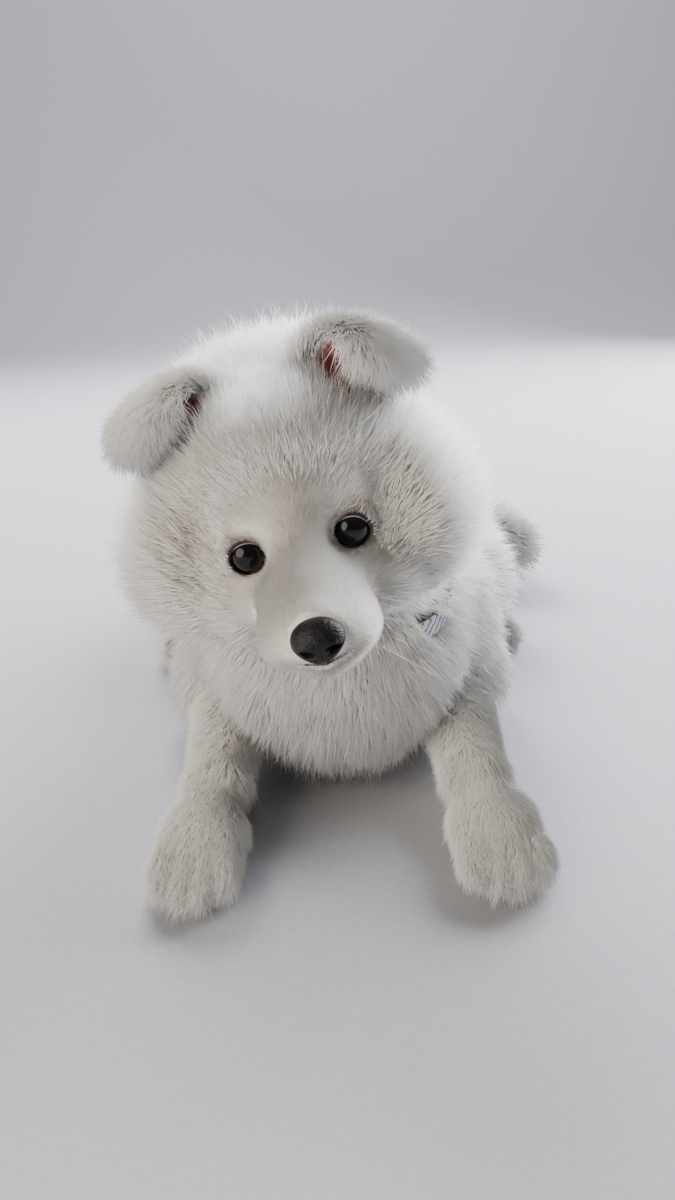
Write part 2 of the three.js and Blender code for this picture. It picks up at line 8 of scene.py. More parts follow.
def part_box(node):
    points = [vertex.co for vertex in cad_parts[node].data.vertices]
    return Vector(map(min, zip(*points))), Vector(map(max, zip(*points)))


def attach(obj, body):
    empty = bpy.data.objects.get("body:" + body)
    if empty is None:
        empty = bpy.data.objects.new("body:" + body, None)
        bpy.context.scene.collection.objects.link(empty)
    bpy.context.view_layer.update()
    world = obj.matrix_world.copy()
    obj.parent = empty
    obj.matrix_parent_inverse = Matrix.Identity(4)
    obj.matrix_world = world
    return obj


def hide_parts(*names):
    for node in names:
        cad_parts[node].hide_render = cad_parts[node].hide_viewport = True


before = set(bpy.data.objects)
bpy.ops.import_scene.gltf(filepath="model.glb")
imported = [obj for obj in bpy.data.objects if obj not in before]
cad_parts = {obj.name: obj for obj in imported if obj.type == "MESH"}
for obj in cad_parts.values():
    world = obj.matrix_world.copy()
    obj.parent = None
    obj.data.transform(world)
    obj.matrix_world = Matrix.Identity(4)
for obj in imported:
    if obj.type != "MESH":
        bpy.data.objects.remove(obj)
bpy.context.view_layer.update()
mm = 0.001
sides = {"left": 1, "right": -1}

# the bare animal in millimetres
puppy = dict(
    eyeSpacing=45, globeRadius=9, skullWidth=90, skullHeight=84, skullLength=88,
    muzzleWidth=46, noseReach=50, noseWidth=21.6, earWidth=36,
    chestWidth=112, chestDepth=126, rumpWidth=104, backLength=214, forearm=100, pawWidth=38,
    toeSpread=9.6, headNod=6, headTilt=-12, headTurn=2, headAt=(-15, -100, 169),
)
# how long the coat is over each part
coat = dict(
    face=3.8, forehead=14, crown=34, muzzleSide=9, cheek=40, throat=22, nape=26, ruff=34, bib=30,
    back=28, side=30, rump=30, thigh=24, upperArm=22, forearm=13, foot=9, tail=26,
)


def vec(*numbers):
    return np.array(numbers, float) * mm


def blend(low, high, x):
    t = np.clip((x - low) / (high - low), 0, 1)
    return t * t * (3 - 2 * t)


def mix(a, b, t):
    return a + (b - a) * t


def unit(v):
    return v / np.maximum(np.linalg.norm(v, axis=-1, keepdims=True), 1e-9)


# the head's own frame has its origin midway between the eyes
turns = [math.radians(puppy[k]) for k in ("headNod", "headTilt", "headTurn")]
headTurned = (Matrix.Rotation(turns[2], 3, "Z") @ Matrix.Rotation(turns[1], 3, "Y")
              @ Matrix.Rotation(turns[0], 3, "X"))
headSpin = np.array(headTurned)
headPlace = vec(*puppy["headAt"])
eyeLevel = vec(0, 3, 0)


def boxMiddle(node):
    low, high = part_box(node)
    return (np.array(low) + np.array(high)) / 2


# the row frame's shift from the maker's own frame is read off the eyes
eyesMiddle = (boxMiddle("eye_left") + boxMiddle("eye_right")) / 2
rowShift = eyesMiddle - (headPlace + headSpin @ eyeLevel)
rowShift[2] = 0


def fromHead(points):
    return points @ headSpin.T + headPlace + rowShift


def toHead(points):
    return (points - headPlace - rowShift) @ headSpin


def toMaker(points):
    return points - rowShift


def ball(x, y, z, rx, ry, rz, length):
    return dict(at=vec(x, y, z), size=vec(rx, ry, rz), length=length * mm)


def rod(start, end, r0, r1, length):
    return dict(start=vec(*start), end=vec(*end), r0=r0 * mm, r1=r1 * mm, length=length * mm)


def formDistance(form, points):
    if "size" in form:
        scaled = (points - form["at"]) / form["size"]
        k0 = np.linalg.norm(scaled, axis=1)
        k1 = np.linalg.norm(scaled / form["size"], axis=1)
        return k0 * (k0 - 1) / np.maximum(k1, 1e-9)
    along = form["end"] - form["start"]
    out = points - form["start"]
    t = np.clip(out @ along / (along @ along), 0, 1)
    return np.linalg.norm(out - t[:, None] * along, axis=1) - mix(form["r0"], form["r1"], t)


def melted(near, d, melt):
    share = np.maximum(melt - np.abs(near - d), 0) / melt
    return np.minimum(near, d) - share * share * melt / 4


def skinDistance(piece, points):
    near = formDistance(piece["forms"][0], points)
    for form in piece["forms"][1:]:
        near = melted(near, formDistance(form, points), piece["melt"])
    return near


def coatLength(piece, points):
    reach = 10 * mm
    total = 0
    weights = 0
    for form in piece["forms"]:
        w = np.exp(-np.maximum(formDistance(form, points), -20 * mm) / reach)
        total = total + w * form["length"]
        weights = weights + w
    length = total / weights
    if piece["part"] == "head":
        away = blend(22 * mm, 60 * mm, np.linalg.norm(points - vec(0, -16, -8), axis=1))
        middle = 1 - blend(22 * mm, 42 * mm, np.abs(points[:, 0]))
        crown = blend(22 * mm, 45 * mm, points[:, 2]) * middle
        length = mix(coat["face"] * mm, length, away) * (1 + 0.28 * crown)
    return length


# forms of flesh, with the length of coat over each
headForms = [
    ball(0, 44, 8, puppy["skullWidth"] / 2, puppy["skullLength"] / 2, puppy["skullHeight"] / 2,
         coat["crown"]),
    ball(0, 24, 19, 34, 26, 25, coat["forehead"]),
    ball(0, 66, -4, 34, 26, 30, coat["nape"]),
    ball(0, 22, -30, 28, 32, 18, coat["throat"]),
    ball(0, -8, -18, puppy["muzzleWidth"] / 2, 26, 18, coat["face"]),
    rod((0, 0, -6), (0, 10 - puppy["noseReach"], -15), 11.5, 8.5, coat["face"]),
    rod((0, -3, -5), (0, 20, 24), 12, 22, coat["face"]),
    ball(0, -26, -35, 12, 19, 8, coat["face"]),
]
for s in sides.values():
    headForms += [
        ball(s * 17, 6, 11, 11, 9, 8, coat["face"]),
        ball(s * 25, 11, -23, 18, 20, 18, coat["muzzleSide"]),
        ball(s * 33, 32, -13, 24, 29, 26, coat["cheek"]),
        ball(s * 10, -31, -25, 13.5, 16, 12, coat["face"]),
    ]

chest = (0, 48, 72)
rump = (0, chest[1] + puppy["backLength"], 66)
torsoForms = [
    ball(*chest, puppy["chestWidth"] / 2, 66, puppy["chestDepth"] / 2, coat["side"]),
    ball(0, 22, 100, 42, 42, 38, coat["back"]),
    ball(-2, -8, 74, 42, 34, 42, coat["bib"]),
    ball(0, 140, 70, puppy["chestWidth"] / 2 - 1, 80, puppy["chestDepth"] / 2 - 5, coat["side"]),
    ball(0, rump[1] - 48, 70, puppy["rumpWidth"] / 2, 60, 54, coat["back"]),
    ball(*rump, 40, 32, 44, coat["rump"]),
    rod((0, 44, 98), (0, 124, 80), 38, 48, coat["back"]),
]


def piece(part, forms, melt, spine):
    return dict(part=part, forms=forms, melt=melt * mm, spine=[vec(*p) for p in spine])


toeRow = dict(places=(-1.45, -0.5, 0.5, 1.45), out=2, ahead=26, curve=3.4, below=4)


def toeMiddles(paw, s):
    return [(paw[0] + k * puppy["toeSpread"] + s * toeRow["out"],
             paw[1] - toeRow["ahead"] + toeRow["curve"] * k * k, paw[2] - toeRow["below"])
            for k in toeRow["places"]]


def toes(paw, s, size):
    return [ball(*toe, *size, coat["foot"]) for toe in toeMiddles(paw, s)]


def forelegJoints(s):
    shoulder = (s * 44, 38, 84)
    elbow = (s * 64, 46, 38)
    wrist = (elbow[0] + s * 3, elbow[1] - puppy["forearm"], elbow[2] - 14)
    return shoulder, elbow, wrist, (wrist[0] + s * 4, wrist[1] - 37, wrist[2] - 7)


def hindLegJoints(s):
    return ((s * 46, rump[1] - 30, 78), (s * 82, rump[1] - 100, 46), (s * 90, rump[1] - 16, 22),
            (s * 104, rump[1] - 98, 15))


def foreleg(s):
    shoulder, elbow, wrist, paw = forelegJoints(s)
    upper = piece("arm", [rod(shoulder, elbow, 25, 22, coat["upperArm"])], 8, (elbow, shoulder))
    lower = [rod(elbow, wrist, 17, 13, coat["forearm"]), rod(wrist, paw, 13, 12, coat["foot"]),
             ball(*paw, puppy["pawWidth"] / 2, 28, 13, coat["foot"]), *toes(paw, s, (6, 13, 9))]
    return [upper, piece("forearm", lower, 6, (paw, elbow))]


def hindLeg(s):
    hip, knee, hock, paw = hindLegJoints(s)
    shank = [rod(hock, paw, 11, 11, coat["forearm"]),
             ball(*paw, puppy["pawWidth"] / 2 - 2, 24, 11, coat["foot"]), *toes(paw, s, (5.8, 11, 8.5))]
    return [piece("thigh", [rod(hip, knee, 38, 27, coat["thigh"])], 8, (knee, hip)),
            piece("foot", shank, 6, (paw, hock))]


def curvePoint(points, share):
    spans = len(points) - 1
    i = min(int(share * spans), spans - 1)
    t = share * spans - i
    p = [np.array(points[min(max(k, 0), spans)], float) for k in (i - 1, i, i + 1, i + 2)]
    if i == 0:
        p[0] = 2 * p[1] - p[2]
    if i == spans - 1:
        p[3] = 2 * p[2] - p[1]
    return 0.5 * (2 * p[1] + (p[2] - p[0]) * t + (2 * p[0] - 5 * p[1] + 4 * p[2] - p[3]) * t * t
                  + (3 * p[1] - p[0] - 3 * p[2] + p[3]) * t ** 3)


tailStops = [(0, rump[1] + 20, 84), (10, rump[1] + 50, 74), (44, rump[1] + 76, 54),
             (88, rump[1] + 80, 42), (124, rump[1] + 52, 37), (140, rump[1] + 8, 36)]
tailLine = [curvePoint(tailStops, k / 24) for k in range(25)]
tailForms = [rod(tailLine[k], tailLine[k + 3], 8.5, 8.5, coat["tail"]) for k in range(0, 24, 3)]

headPiece = piece("head", headForms, 10, ((0, 66, 2), (0, -32, -22)))
pieces = [
    headPiece,
    piece("neck", [rod((-10, -18, 140), (-3, 32, 108), 34, 46, coat["ruff"])], 14,
          ((-10, -18, 140), (-3, 32, 108))),
    *foreleg(1), *foreleg(-1), *hindLeg(1), *hindLeg(-1),
    piece("torso", torsoForms, 24, ((0, rump[1] - 10, 68), (0, 10, 74))),
    piece("tail", tailForms, 6, (tailStops[0], tailStops[3])),
]


# for each point: distance from the whole skin, length of the coat there, and the nearest piece
def wholeSkin(points):
    melt = 12 * mm
    near = None
    best = None
    total = 0
    weights = 0
    for i, p in enumerate(pieces):
        q = toHead(points) if p["part"] == "head" else toMaker(points)
        d = skinDistance(p, q)
        if p["part"] == "head":
            d = melted(-melted(-d, socketDistance(q), 6 * mm), lidDistance(q), 3 * mm)
        w = np.exp(-np.maximum(d, -20 * mm) / melt)
        total = total + w * coatLength(p, q)
        weights = weights + w
        if near is None:
            near = d
            best = d.copy()
            nearest = np.zeros(len(points), int)
            continue
        near = melted(near, d, melt)
        nearest[d < best] = i
        best = np.minimum(best, d)
    return near, total / weights, nearest


def eyeAt(s):
    return vec(s * puppy["eyeSpacing"] / 2, 3, 0)


lids = dict(width=16, height=15.2, lift=6, thickness=1.1, rim=0.6, cut=15, dark=(10.2, 12.5))
socket = dict(at=(-0.5, -18.5, 4.5), size=(10, 14, 11))


def eyeGap(headPoints):
    return np.minimum(*[np.linalg.norm(headPoints - eyeAt(s), axis=1) for s in (1, -1)])


def lidDistance(headPoints):
    return eyeGap(headPoints) - (puppy["globeRadius"] + lids["thickness"]) * mm


def socketDistance(headPoints):
    found = []
    for s in (1, -1):
        x, y, z = socket["at"]
        form = dict(at=eyeAt(s) + vec(s * x, y, z), size=vec(*socket["size"]))
        found.append(formDistance(form, headPoints))
    return np.minimum(*found)


def slopeOf(field, points, step=0.6 * mm):
    slope = np.zeros_like(points)
    for k in range(3):
        shift = np.zeros(3)
        shift[k] = step
        slope[:, k] = (field(points + shift) - field(points - shift)) / (2 * step)
    return slope


def settle(points, field, rounds):
    for _ in range(rounds):
        slope = slopeOf(field, points)
        size = np.maximum((slope * slope).sum(1), 0.2)
        points = points - (field(points) / size)[:, None] * slope
    return points


# objects and meshes


def linked(name, data):
    made = bpy.data.objects.new(name, data)
    bpy.context.scene.collection.objects.link(made)
    return made


def giveTone(mesh, name, values):
    tone = mesh.attributes.new(name, "FLOAT", "POINT")
    tone.data.foreach_set("value", values.astype(np.float32))


def meshPiece(name, mesh, material, replaced=()):
    made = linked(name, mesh)
    mesh.materials.clear()
    mesh.materials.append(material)
    mesh.shade_smooth()
    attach(made, "root")
    if replaced:
        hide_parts(*replaced)
    return made


def meshFrom(bm, name):
    bmesh.ops.recalc_face_normals(bm, faces=bm.faces)
    mesh = bpy.data.meshes.new(name)
    bm.to_mesh(mesh)
    bm.free()
    return mesh


def pointsOf(mesh):
    flat = np.zeros(len(mesh.vertices) * 3, np.float32)
    mesh.vertices.foreach_get("co", flat)
    return flat.reshape(-1, 3).astype(float)


def movePoints(mesh, points):
    mesh.vertices.foreach_set("co", points.astype(np.float32).ravel())
    mesh.update()


def trianglesOf(mesh):
    mesh.calc_loop_triangles()
    flat = np.zeros(len(mesh.loop_triangles) * 3, np.int32)
    mesh.loop_triangles.foreach_get("vertices", flat)
    return flat.reshape(-1, 3)


def inOrder(triangles):
    first = triangles.argmin(1)[:, None]
    turned = np.take_along_axis(triangles, (first + np.arange(3)) % 3, 1)
    return turned[np.lexsort(turned.T[::-1])]


def modified(made, **modifiers):
    for kind, settings in modifiers.items():
        modifier = made.modifiers.new(kind, kind)
        for key, value in settings.items():
            setattr(modifier, key, value)
    graph = bpy.context.evaluated_depsgraph_get()
    mesh = bpy.data.meshes.new_from_object(made.evaluated_get(graph))
    made.modifiers.clear()
    made.data = mesh
    return made


# shader maths on sockets


class Sum:
    def __init__(self, paint, socket):
        self.paint = paint
        self.socket = socket

    def joined(self, operation, first, second):
        return self.paint.add("ShaderNodeMath", dict(operation=operation), {0: first, 1: second})

    def __add__(self, other):
        return self.joined("ADD", self, other)

    def __radd__(self, other):
        return self.joined("ADD", other, self)

    def __sub__(self, other):
        return self.joined("SUBTRACT", self, other)

    def __rsub__(self, other):
        return self.joined("SUBTRACT", other, self)

    def __mul__(self, other):
        return self.joined("MULTIPLY", self, other)

    def __rmul__(self, other):
        return self.joined("MULTIPLY", other, self)


class Paint:
    def __init__(self, name, **constants):
        self.material = bpy.data.materials.new(name)
        self.material.use_nodes = True
        self.tree = self.material.node_tree
        self.shader = self.tree.nodes["Principled BSDF"]
        for socket, value in constants.items():
            self.shader.inputs[socket.replace("_", " ")].default_value = value

    def add(self, kind, settings=None, inputs=None, output=0):
        node = self.tree.nodes.new(kind)
        for key, value in (settings or {}).items():
            if key == "stops":
                self.setStops(node.color_ramp, value)
            else:
                setattr(node, key, value)
        for key, value in (inputs or {}).items():
            if isinstance(value, Sum):
                self.tree.links.new(value.socket, node.inputs[key])
            else:
                node.inputs[key].default_value = value
        return Sum(self, node.outputs[output])

    def setStops(self, ramp, stops):
        while len(ramp.elements) < len(stops):
            ramp.elements.new(1)
        for element, (place, colour) in zip(ramp.elements, stops):
            element.position = place
            element.color = (*colour, 1)

    def feed(self, socket, value):
        self.tree.links.new(value.socket, self.shader.inputs[socket])

    def place(self):
        return self.add("ShaderNodeTexCoord", None, None, "Object")

    def attribute(self, name):
        return self.add("ShaderNodeAttribute", dict(attribute_name=name), None, "Fac")

    def noise(self, scale, detail=3, where=None):
        return self.add("ShaderNodeTexNoise", None,
                        {"Vector": where or self.place(), "Scale": scale, "Detail": detail}, "Fac")

    def ramp(self, value, stops):
        return self.add("ShaderNodeValToRGB", dict(stops=stops), {0: value})

    def blendColours(self, share, first, second, way="MIX"):
        return self.add("ShaderNodeMix", dict(data_type="RGBA", blend_type=way),
                        {0: share, 6: first, 7: second}, 2)

    def bump(self, height, strength, distance):
        normal = self.add("ShaderNodeBump", None,
                          {"Height": height, "Strength": strength, "Distance": distance})
        self.feed("Normal", normal)


furLooks = dict(
    long=dict(root=(0.84, 0.77, 0.67), middle=(0.92, 0.89, 0.84), tip=(0.97, 0.96, 0.95),
              cream=(0.96, 0.90, 0.82), creamShare=0.4),
    short=dict(root=(0.89, 0.84, 0.77), middle=(0.94, 0.91, 0.86), tip=(0.97, 0.95, 0.92),
               cream=(0.95, 0.89, 0.81), creamShare=0.5),
    leg=dict(root=(0.93, 0.90, 0.85), middle=(0.96, 0.945, 0.92), tip=(0.98, 0.975, 0.965),
             cream=(0.97, 0.94, 0.89), creamShare=0.25),
)


def paintFur(name, look):
    paint = Paint(name, Roughness=0.7)
    paint.shader.inputs["Specular IOR Level"].default_value = 0.2
    paint.shader.inputs["Sheen Weight"].default_value = 0.3
    along = paint.attribute("along")
    hair = paint.ramp(along, [(0, look["root"]), (0.35, look["middle"]), (0.85, look["tip"])])
    patches = paint.ramp(paint.noise(14, 2), [(0.45, (0, 0, 0)), (0.7, (1, 1, 1))])
    warm = paint.blendColours(patches * look["creamShare"], hair, (*look["cream"], 1), "MULTIPLY")
    # painted shade round the eyes and in the toe furrows, together with each tuft's own uneven darker tone,
    # is multiplied into the hair colour here
    shaded = paint.blendColours(paint.attribute("tint"), warm, (0.50, 0.42, 0.38, 1), "MULTIPLY")
    paint.feed("Base Color", shaded)
    return paint.material


def paintSkin():
    paint = Paint("skin", Roughness=0.7)
    pores = paint.noise(900, 4)
    flesh = paint.ramp(paint.noise(40, 3), [(0.3, (0.85, 0.79, 0.72)), (0.7, (0.90, 0.85, 0.79))])
    lidded = paint.blendColours(paint.attribute("lidTint"), flesh, (0.07, 0.05, 0.045, 1))
    paint.feed("Base Color", lidded)
    paint.bump(pores, 0.3, 0.0004)
    return paint.material


def paintEye():
    paint = Paint("eye", Roughness=0.11)
    paint.shader.inputs["Specular IOR Level"].default_value = 0.2
    paint.shader.inputs["Coat Weight"].default_value = 0.3
    paint.shader.inputs["Coat Roughness"].default_value = 0.02
    streaks = paint.noise(1400, 3)
    spread = paint.attribute("fromPupil") + (streaks - 0.5) * 0.05
    colours = [(0.0, (0.001, 0.001, 0.002)), (0.34, (0.002, 0.002, 0.003)), (0.40, (0.008, 0.005, 0.005)),
               (0.66, (0.005, 0.004, 0.005)), (0.72, (0.002, 0.002, 0.003)), (0.88, (0.006, 0.005, 0.006)),
               (0.97, (0.16, 0.14, 0.14))]
    paint.feed("Base Color", paint.ramp(spread, colours))
    return paint.material


def paintNose():
    paint = Paint("noseLeather")
    paint.shader.inputs["Specular IOR Level"].default_value = 0.3
    pebbles = paint.add("ShaderNodeTexVoronoi", dict(feature="SMOOTH_F1"),
                        {"Vector": paint.place(), "Scale": 1050})
    fine = paint.noise(2600, 2)
    height = pebbles * -1.0 + fine * 0.35
    paint.feed("Base Color", paint.ramp(paint.noise(120, 3), [(0.3, (0.004, 0.004, 0.005)),
                                                             (0.75, (0.009, 0.008, 0.010))]))
    paint.feed("Roughness", paint.noise(300, 3) * 0.3 + 0.26)
    paint.bump(height, 0.55, 0.0006)
    return paint.material


def paintDark(name, colour, roughness):
    paint = Paint(name, Roughness=roughness)
    paint.shader.inputs["Specular IOR Level"].default_value = 0.35
    shade = paint.ramp(paint.noise(400, 3), [(0.3, colour), (0.7, tuple(c * 1.8 for c in colour))])
    paint.feed("Base Color", shade)
    paint.bump(paint.noise(1500, 3), 0.25, 0.0003)
    return paint.material


def paintEar():
    paint = Paint("earLining", Roughness=0.6)
    flush = paint.ramp(paint.noise(60, 3), [(0.3, (0.40, 0.09, 0.09)), (0.7, (0.58, 0.17, 0.16))])
    rim = paint.ramp(paint.attribute("towardsRim"), [(0.75, (0, 0, 0)), (0.98, (1, 1, 1))])
    paint.feed("Base Color", paint.blendColours(rim, flush, (0.66, 0.52, 0.44, 1)))
    paint.bump(paint.noise(700, 3), 0.3, 0.0004)
    return paint.material


def paintWebbing():
    paint = Paint("webbing", Roughness=0.8)
    paint.shader.inputs["Sheen Weight"].default_value = 0.2
    uv = paint.add("ShaderNodeUVMap", dict(uv_map="ribbon"))
    u, v = (paint.add("ShaderNodeSeparateXYZ", None, {0: uv}, k) for k in (0, 1))
    worn = paint.noise(420, 2) * 0.5
    ribs = paint.add("ShaderNodeMath", dict(operation="PINGPONG"), {0: u + v * 0.35, 1: 0.5})
    twill = paint.add("ShaderNodeMath", dict(operation="PINGPONG"), {0: u * 0.3 - v * 0.3 + worn, 1: 0.5})
    band = paint.ramp(twill, [(0.06, (0.06, 0.05, 0.10)), (0.13, (0.36, 0.33, 0.45)),
                              (0.27, (0.72, 0.70, 0.77))])
    threads = paint.ramp(ribs, [(0.0, (0.55, 0.55, 0.55)), (0.3, (1, 1, 1))])
    paint.feed("Base Color", paint.blendColours(1.0, band, threads, "MULTIPLY"))
    paint.bump(ribs, 0.6, 0.0005)
    return paint.material


def paintStudio():
    paint = Paint("studioPaper", Roughness=0.9)
    grain = paint.noise(260, 4)
    paint.feed("Base Color", paint.ramp(grain, [(0.3, (0.40, 0.41, 0.44)), (0.7, (0.44, 0.45, 0.49))]))
    paint.bump(grain, 0.12, 0.0006)
    return paint.material


# camera, floor and lights


view = dict(offset=(15, -370, 121), down=22, roll=2.5, lens=27.45)


def makeCamera():
    camera = linked("camera", bpy.data.cameras.new("camera"))
    camera.data.lens = view["lens"]
    camera.data.sensor_width = 36
    camera.data.clip_start = 0.01
    camera.location = Vector(eyesMiddle + vec(*view["offset"]))
    down = math.radians(view["down"])
    ahead = Vector((0, math.cos(down), -math.sin(down)))
    look = ahead.to_track_quat("-Z", "Y").to_matrix()
    rolled = look @ Matrix.Rotation(math.radians(-view["roll"]), 3, "Z")
    camera.rotation_euler = rolled.to_euler()
    bpy.context.scene.camera = camera


studio = dict(width=9.0, front=-4.0, back=1.9, wall=4.0, sweep=1.2)


def makeStudio():
    bm = bmesh.new()
    half = studio["width"] / 2
    steps = 16
    profile = [(studio["front"], 0.0)]
    for k in range(steps + 1):
        turn = k / steps * math.pi / 2
        profile.append((studio["back"] + math.sin(turn) * studio["sweep"],
                        (1 - math.cos(turn)) * studio["sweep"]))
    profile.append((studio["back"] + studio["sweep"], studio["wall"]))
    edge = [bm.verts.new((-half, y, z)) for y, z in profile]
    line = [bm.edges.new(pair) for pair in zip(edge, edge[1:])]
    made = bmesh.ops.extrude_edge_only(bm, edges=line)
    moved = [v for v in made["geom"] if isinstance(v, bmesh.types.BMVert)]
    bmesh.ops.translate(bm, verts=moved, vec=(studio["width"], 0, 0))
    mesh = meshFrom(bm, "floor")
    floor = linked("floor", mesh)
    mesh.materials.append(paintStudio())
    mesh.shade_smooth()


lamps = dict(
    window=dict(at=(1.2, 0.9, 0.9), size=(1.8, 1.8), power=112, colour=(0.94, 0.97, 1.0)),
    rim=dict(at=(-0.5, 1.1, 1.3), size=(1.2, 1.2), power=58, colour=(0.95, 0.97, 1.0)),
    fill=dict(at=(-1.2, -1.2, 0.6), size=(1.6, 1.6), power=30, colour=(1.0, 0.90, 0.78)),
    wall=dict(at=(0, 1.3, 2.4), size=(2.4, 0.8), power=70, colour=(0.97, 0.98, 1.0), aim=(0, 2.9, 0.9)),
)
airLight = dict(colour=(1.0, 0.94, 0.87), strength=0.2)


def makeLights():
    for name, lamp in lamps.items():
        aim = Vector(lamp.get("aim", eyesMiddle))
        data = bpy.data.lights.new(name, "AREA")
        data.shape = "ELLIPSE"
        data.size, data.size_y = lamp["size"]
        data.energy = lamp["power"]
        data.color = lamp["colour"]
        made = linked(name, data)
        made.location = lamp["at"]
        made.rotation_euler = (aim - made.location).to_track_quat("-Z", "Y").to_euler()
    world = bpy.data.worlds.new("air")
    bpy.context.scene.world = world
    world.use_nodes = True
    sky = world.node_tree.nodes["Background"]
    sky.inputs["Color"].default_value = (*airLight["colour"], 1)
    sky.inputs["Strength"].default_value = airLight["strength"]


makeCamera()
makeStudio()
makeLights()
print("camera, floor and lights are set")


# the skin: balls and rods grown into one, then drawn to the melted surface


def addBall(bm, at, size, spin=None):
    place = Matrix.Translation(Vector(at)) @ (spin or Matrix()) @ Matrix.Diagonal((*size, 1))
    bmesh.ops.create_icosphere(bm, subdivisions=3, radius=1, matrix=place)


skinSizes = dict(voxel=3.0, floor=0.8)


def makeSkin():
    bm = bmesh.new()
    headTurn4 = headTurned.to_4x4()
    for p in pieces:
        inHead = p["part"] == "head"
        place = fromHead if inHead else (lambda q: q + rowShift)
        for form in p["forms"]:
            if "size" in form:
                addBall(bm, place(form["at"]), form["size"], headTurn4 if inHead else None)
                continue
            for k in range(7):
                at = mix(form["start"], form["end"], k / 6)
                addBall(bm, place(at), [mix(form["r0"], form["r1"], k / 6)] * 3)
    for s in sides.values():
        addBall(bm, fromHead(eyeAt(s)), [(puppy["globeRadius"] + lids["thickness"]) * mm] * 3)
    grown = linked("grown", meshFrom(bm, "skin"))
    modified(grown, REMESH=dict(mode="VOXEL", voxel_size=skinSizes["voxel"] * mm))
    points = settle(pointsOf(grown.data), lambda q: wholeSkin(q)[0], 7)
    points[:, 2] = np.maximum(points[:, 2], skinSizes["floor"] * mm)
    movePoints(grown.data, points)
    bm = bmesh.new()
    bm.from_mesh(grown.data)
    bmesh.ops.smooth_vert(bm, verts=bm.verts, factor=0.3)
    mesh = meshFrom(bm, "skin")
    bpy.data.objects.remove(grown)
    return mesh


def almondPoints(s, grow=0.0, count=40):
    lift = math.radians(lids["lift"]) * s
    found = []
    for k in range(count):
        turn = 2 * math.pi * k / count
        x = (lids["width"] / 2 + grow) * math.copysign(abs(math.cos(turn)) ** 0.92, math.cos(turn))
        z = (lids["height"] / 2 + grow) * math.copysign(abs(math.sin(turn)) ** 1.12, math.sin(turn))
        found.append((x * math.cos(lift) + z * math.sin(lift), -x * math.sin(lift) + z * math.cos(lift)))
    return np.array(found) * mm


def cutEyes(skin):
    for s in sides.values():
        bm = bmesh.new()
        middle = eyeAt(s)
        ring = [bm.verts.new(fromHead(np.array([middle[0] + x, middle[1] + 1 * mm, middle[2] + z])))
                for x, z in almondPoints(s)]
        face = bm.faces.new(ring)
        made = bmesh.ops.extrude_face_region(bm, geom=[face])
        moved = [v for v in made["geom"] if isinstance(v, bmesh.types.BMVert)]
        bmesh.ops.translate(bm, verts=moved, vec=headTurned @ Vector((0, -lids["cut"] * mm, 0)))
        cutter = linked("cutter", meshFrom(bm, "cutter"))
        modified(skin, BOOLEAN=dict(operation="DIFFERENCE", object=cutter, solver="EXACT"))
        bpy.data.objects.remove(cutter)


skinMaterial = paintSkin()
fleshNodes = ["head", "neck", "torso", "foreleg_left", "foreleg_right", "thigh_left", "thigh_right",
              "foot_left", "foot_right", "tail_root", "tail_tip"]
skinMesh = makeSkin()
skin = meshPiece("skin", skinMesh.copy(), skinMaterial, fleshNodes)
cutEyes(skin)
gap = eyeGap(toHead(pointsOf(skin.data))) / mm
giveTone(skin.data, "lidTint", 1 - blend(*lids["dark"], gap))
print("skin:", len(skin.data.polygons), "faces")


# eyes, with a bulging cornea, dark lid rims and a pale line of painted reflection along each upper lid's wet
# rim


gaze = dict(left=(0.02, -1, 0.10), right=(0.02, -1, 0.10), corneaBulge=0.07)


def makeEye(name, s):
    bm = bmesh.new()
    bmesh.ops.create_icosphere(bm, subdivisions=5, radius=1)
    mesh = meshFrom(bm, f"eyeball_{name}")
    points = unit(pointsOf(mesh))
    ahead = unit(np.array(gaze[name]))
    off = np.arccos(np.clip(points @ ahead, -1, 1)) / (math.pi / 2)
    bulge = 1 + gaze["corneaBulge"] * (1 - blend(0.25, 0.75, off))
    radius = (puppy["globeRadius"] - 0.25) * mm
    movePoints(mesh, fromHead(points * bulge[:, None] * radius + eyeAt(s)))
    giveTone(mesh, "fromPupil", off)
    return meshPiece(f"eyeball_{name}", mesh, eyeMaterial, [f"eye_{name}"])


def tube(name, points, radii, material, closed=True):
    curve = bpy.data.curves.new(name, "CURVE")
    curve.dimensions = "3D"
    curve.bevel_depth = 1
    curve.bevel_resolution = 2
    curve.use_fill_caps = True
    line = curve.splines.new("POLY")
    line.points.add(len(points) - 1)
    for spot, at, radius in zip(line.points, points, radii):
        spot.co = (*at, 1)
        spot.radius = radius
    line.use_cyclic_u = closed
    drawn = linked(name, curve)
    graph = bpy.context.evaluated_depsgraph_get()
    bm = bmesh.new()
    bm.from_mesh(bpy.data.meshes.new_from_object(drawn.evaluated_get(graph)))
    bmesh.ops.remove_doubles(bm, verts=bm.verts, dist=0.01 * mm)
    bpy.data.objects.remove(drawn)
    return meshPiece(name, meshFrom(bm, name), material)


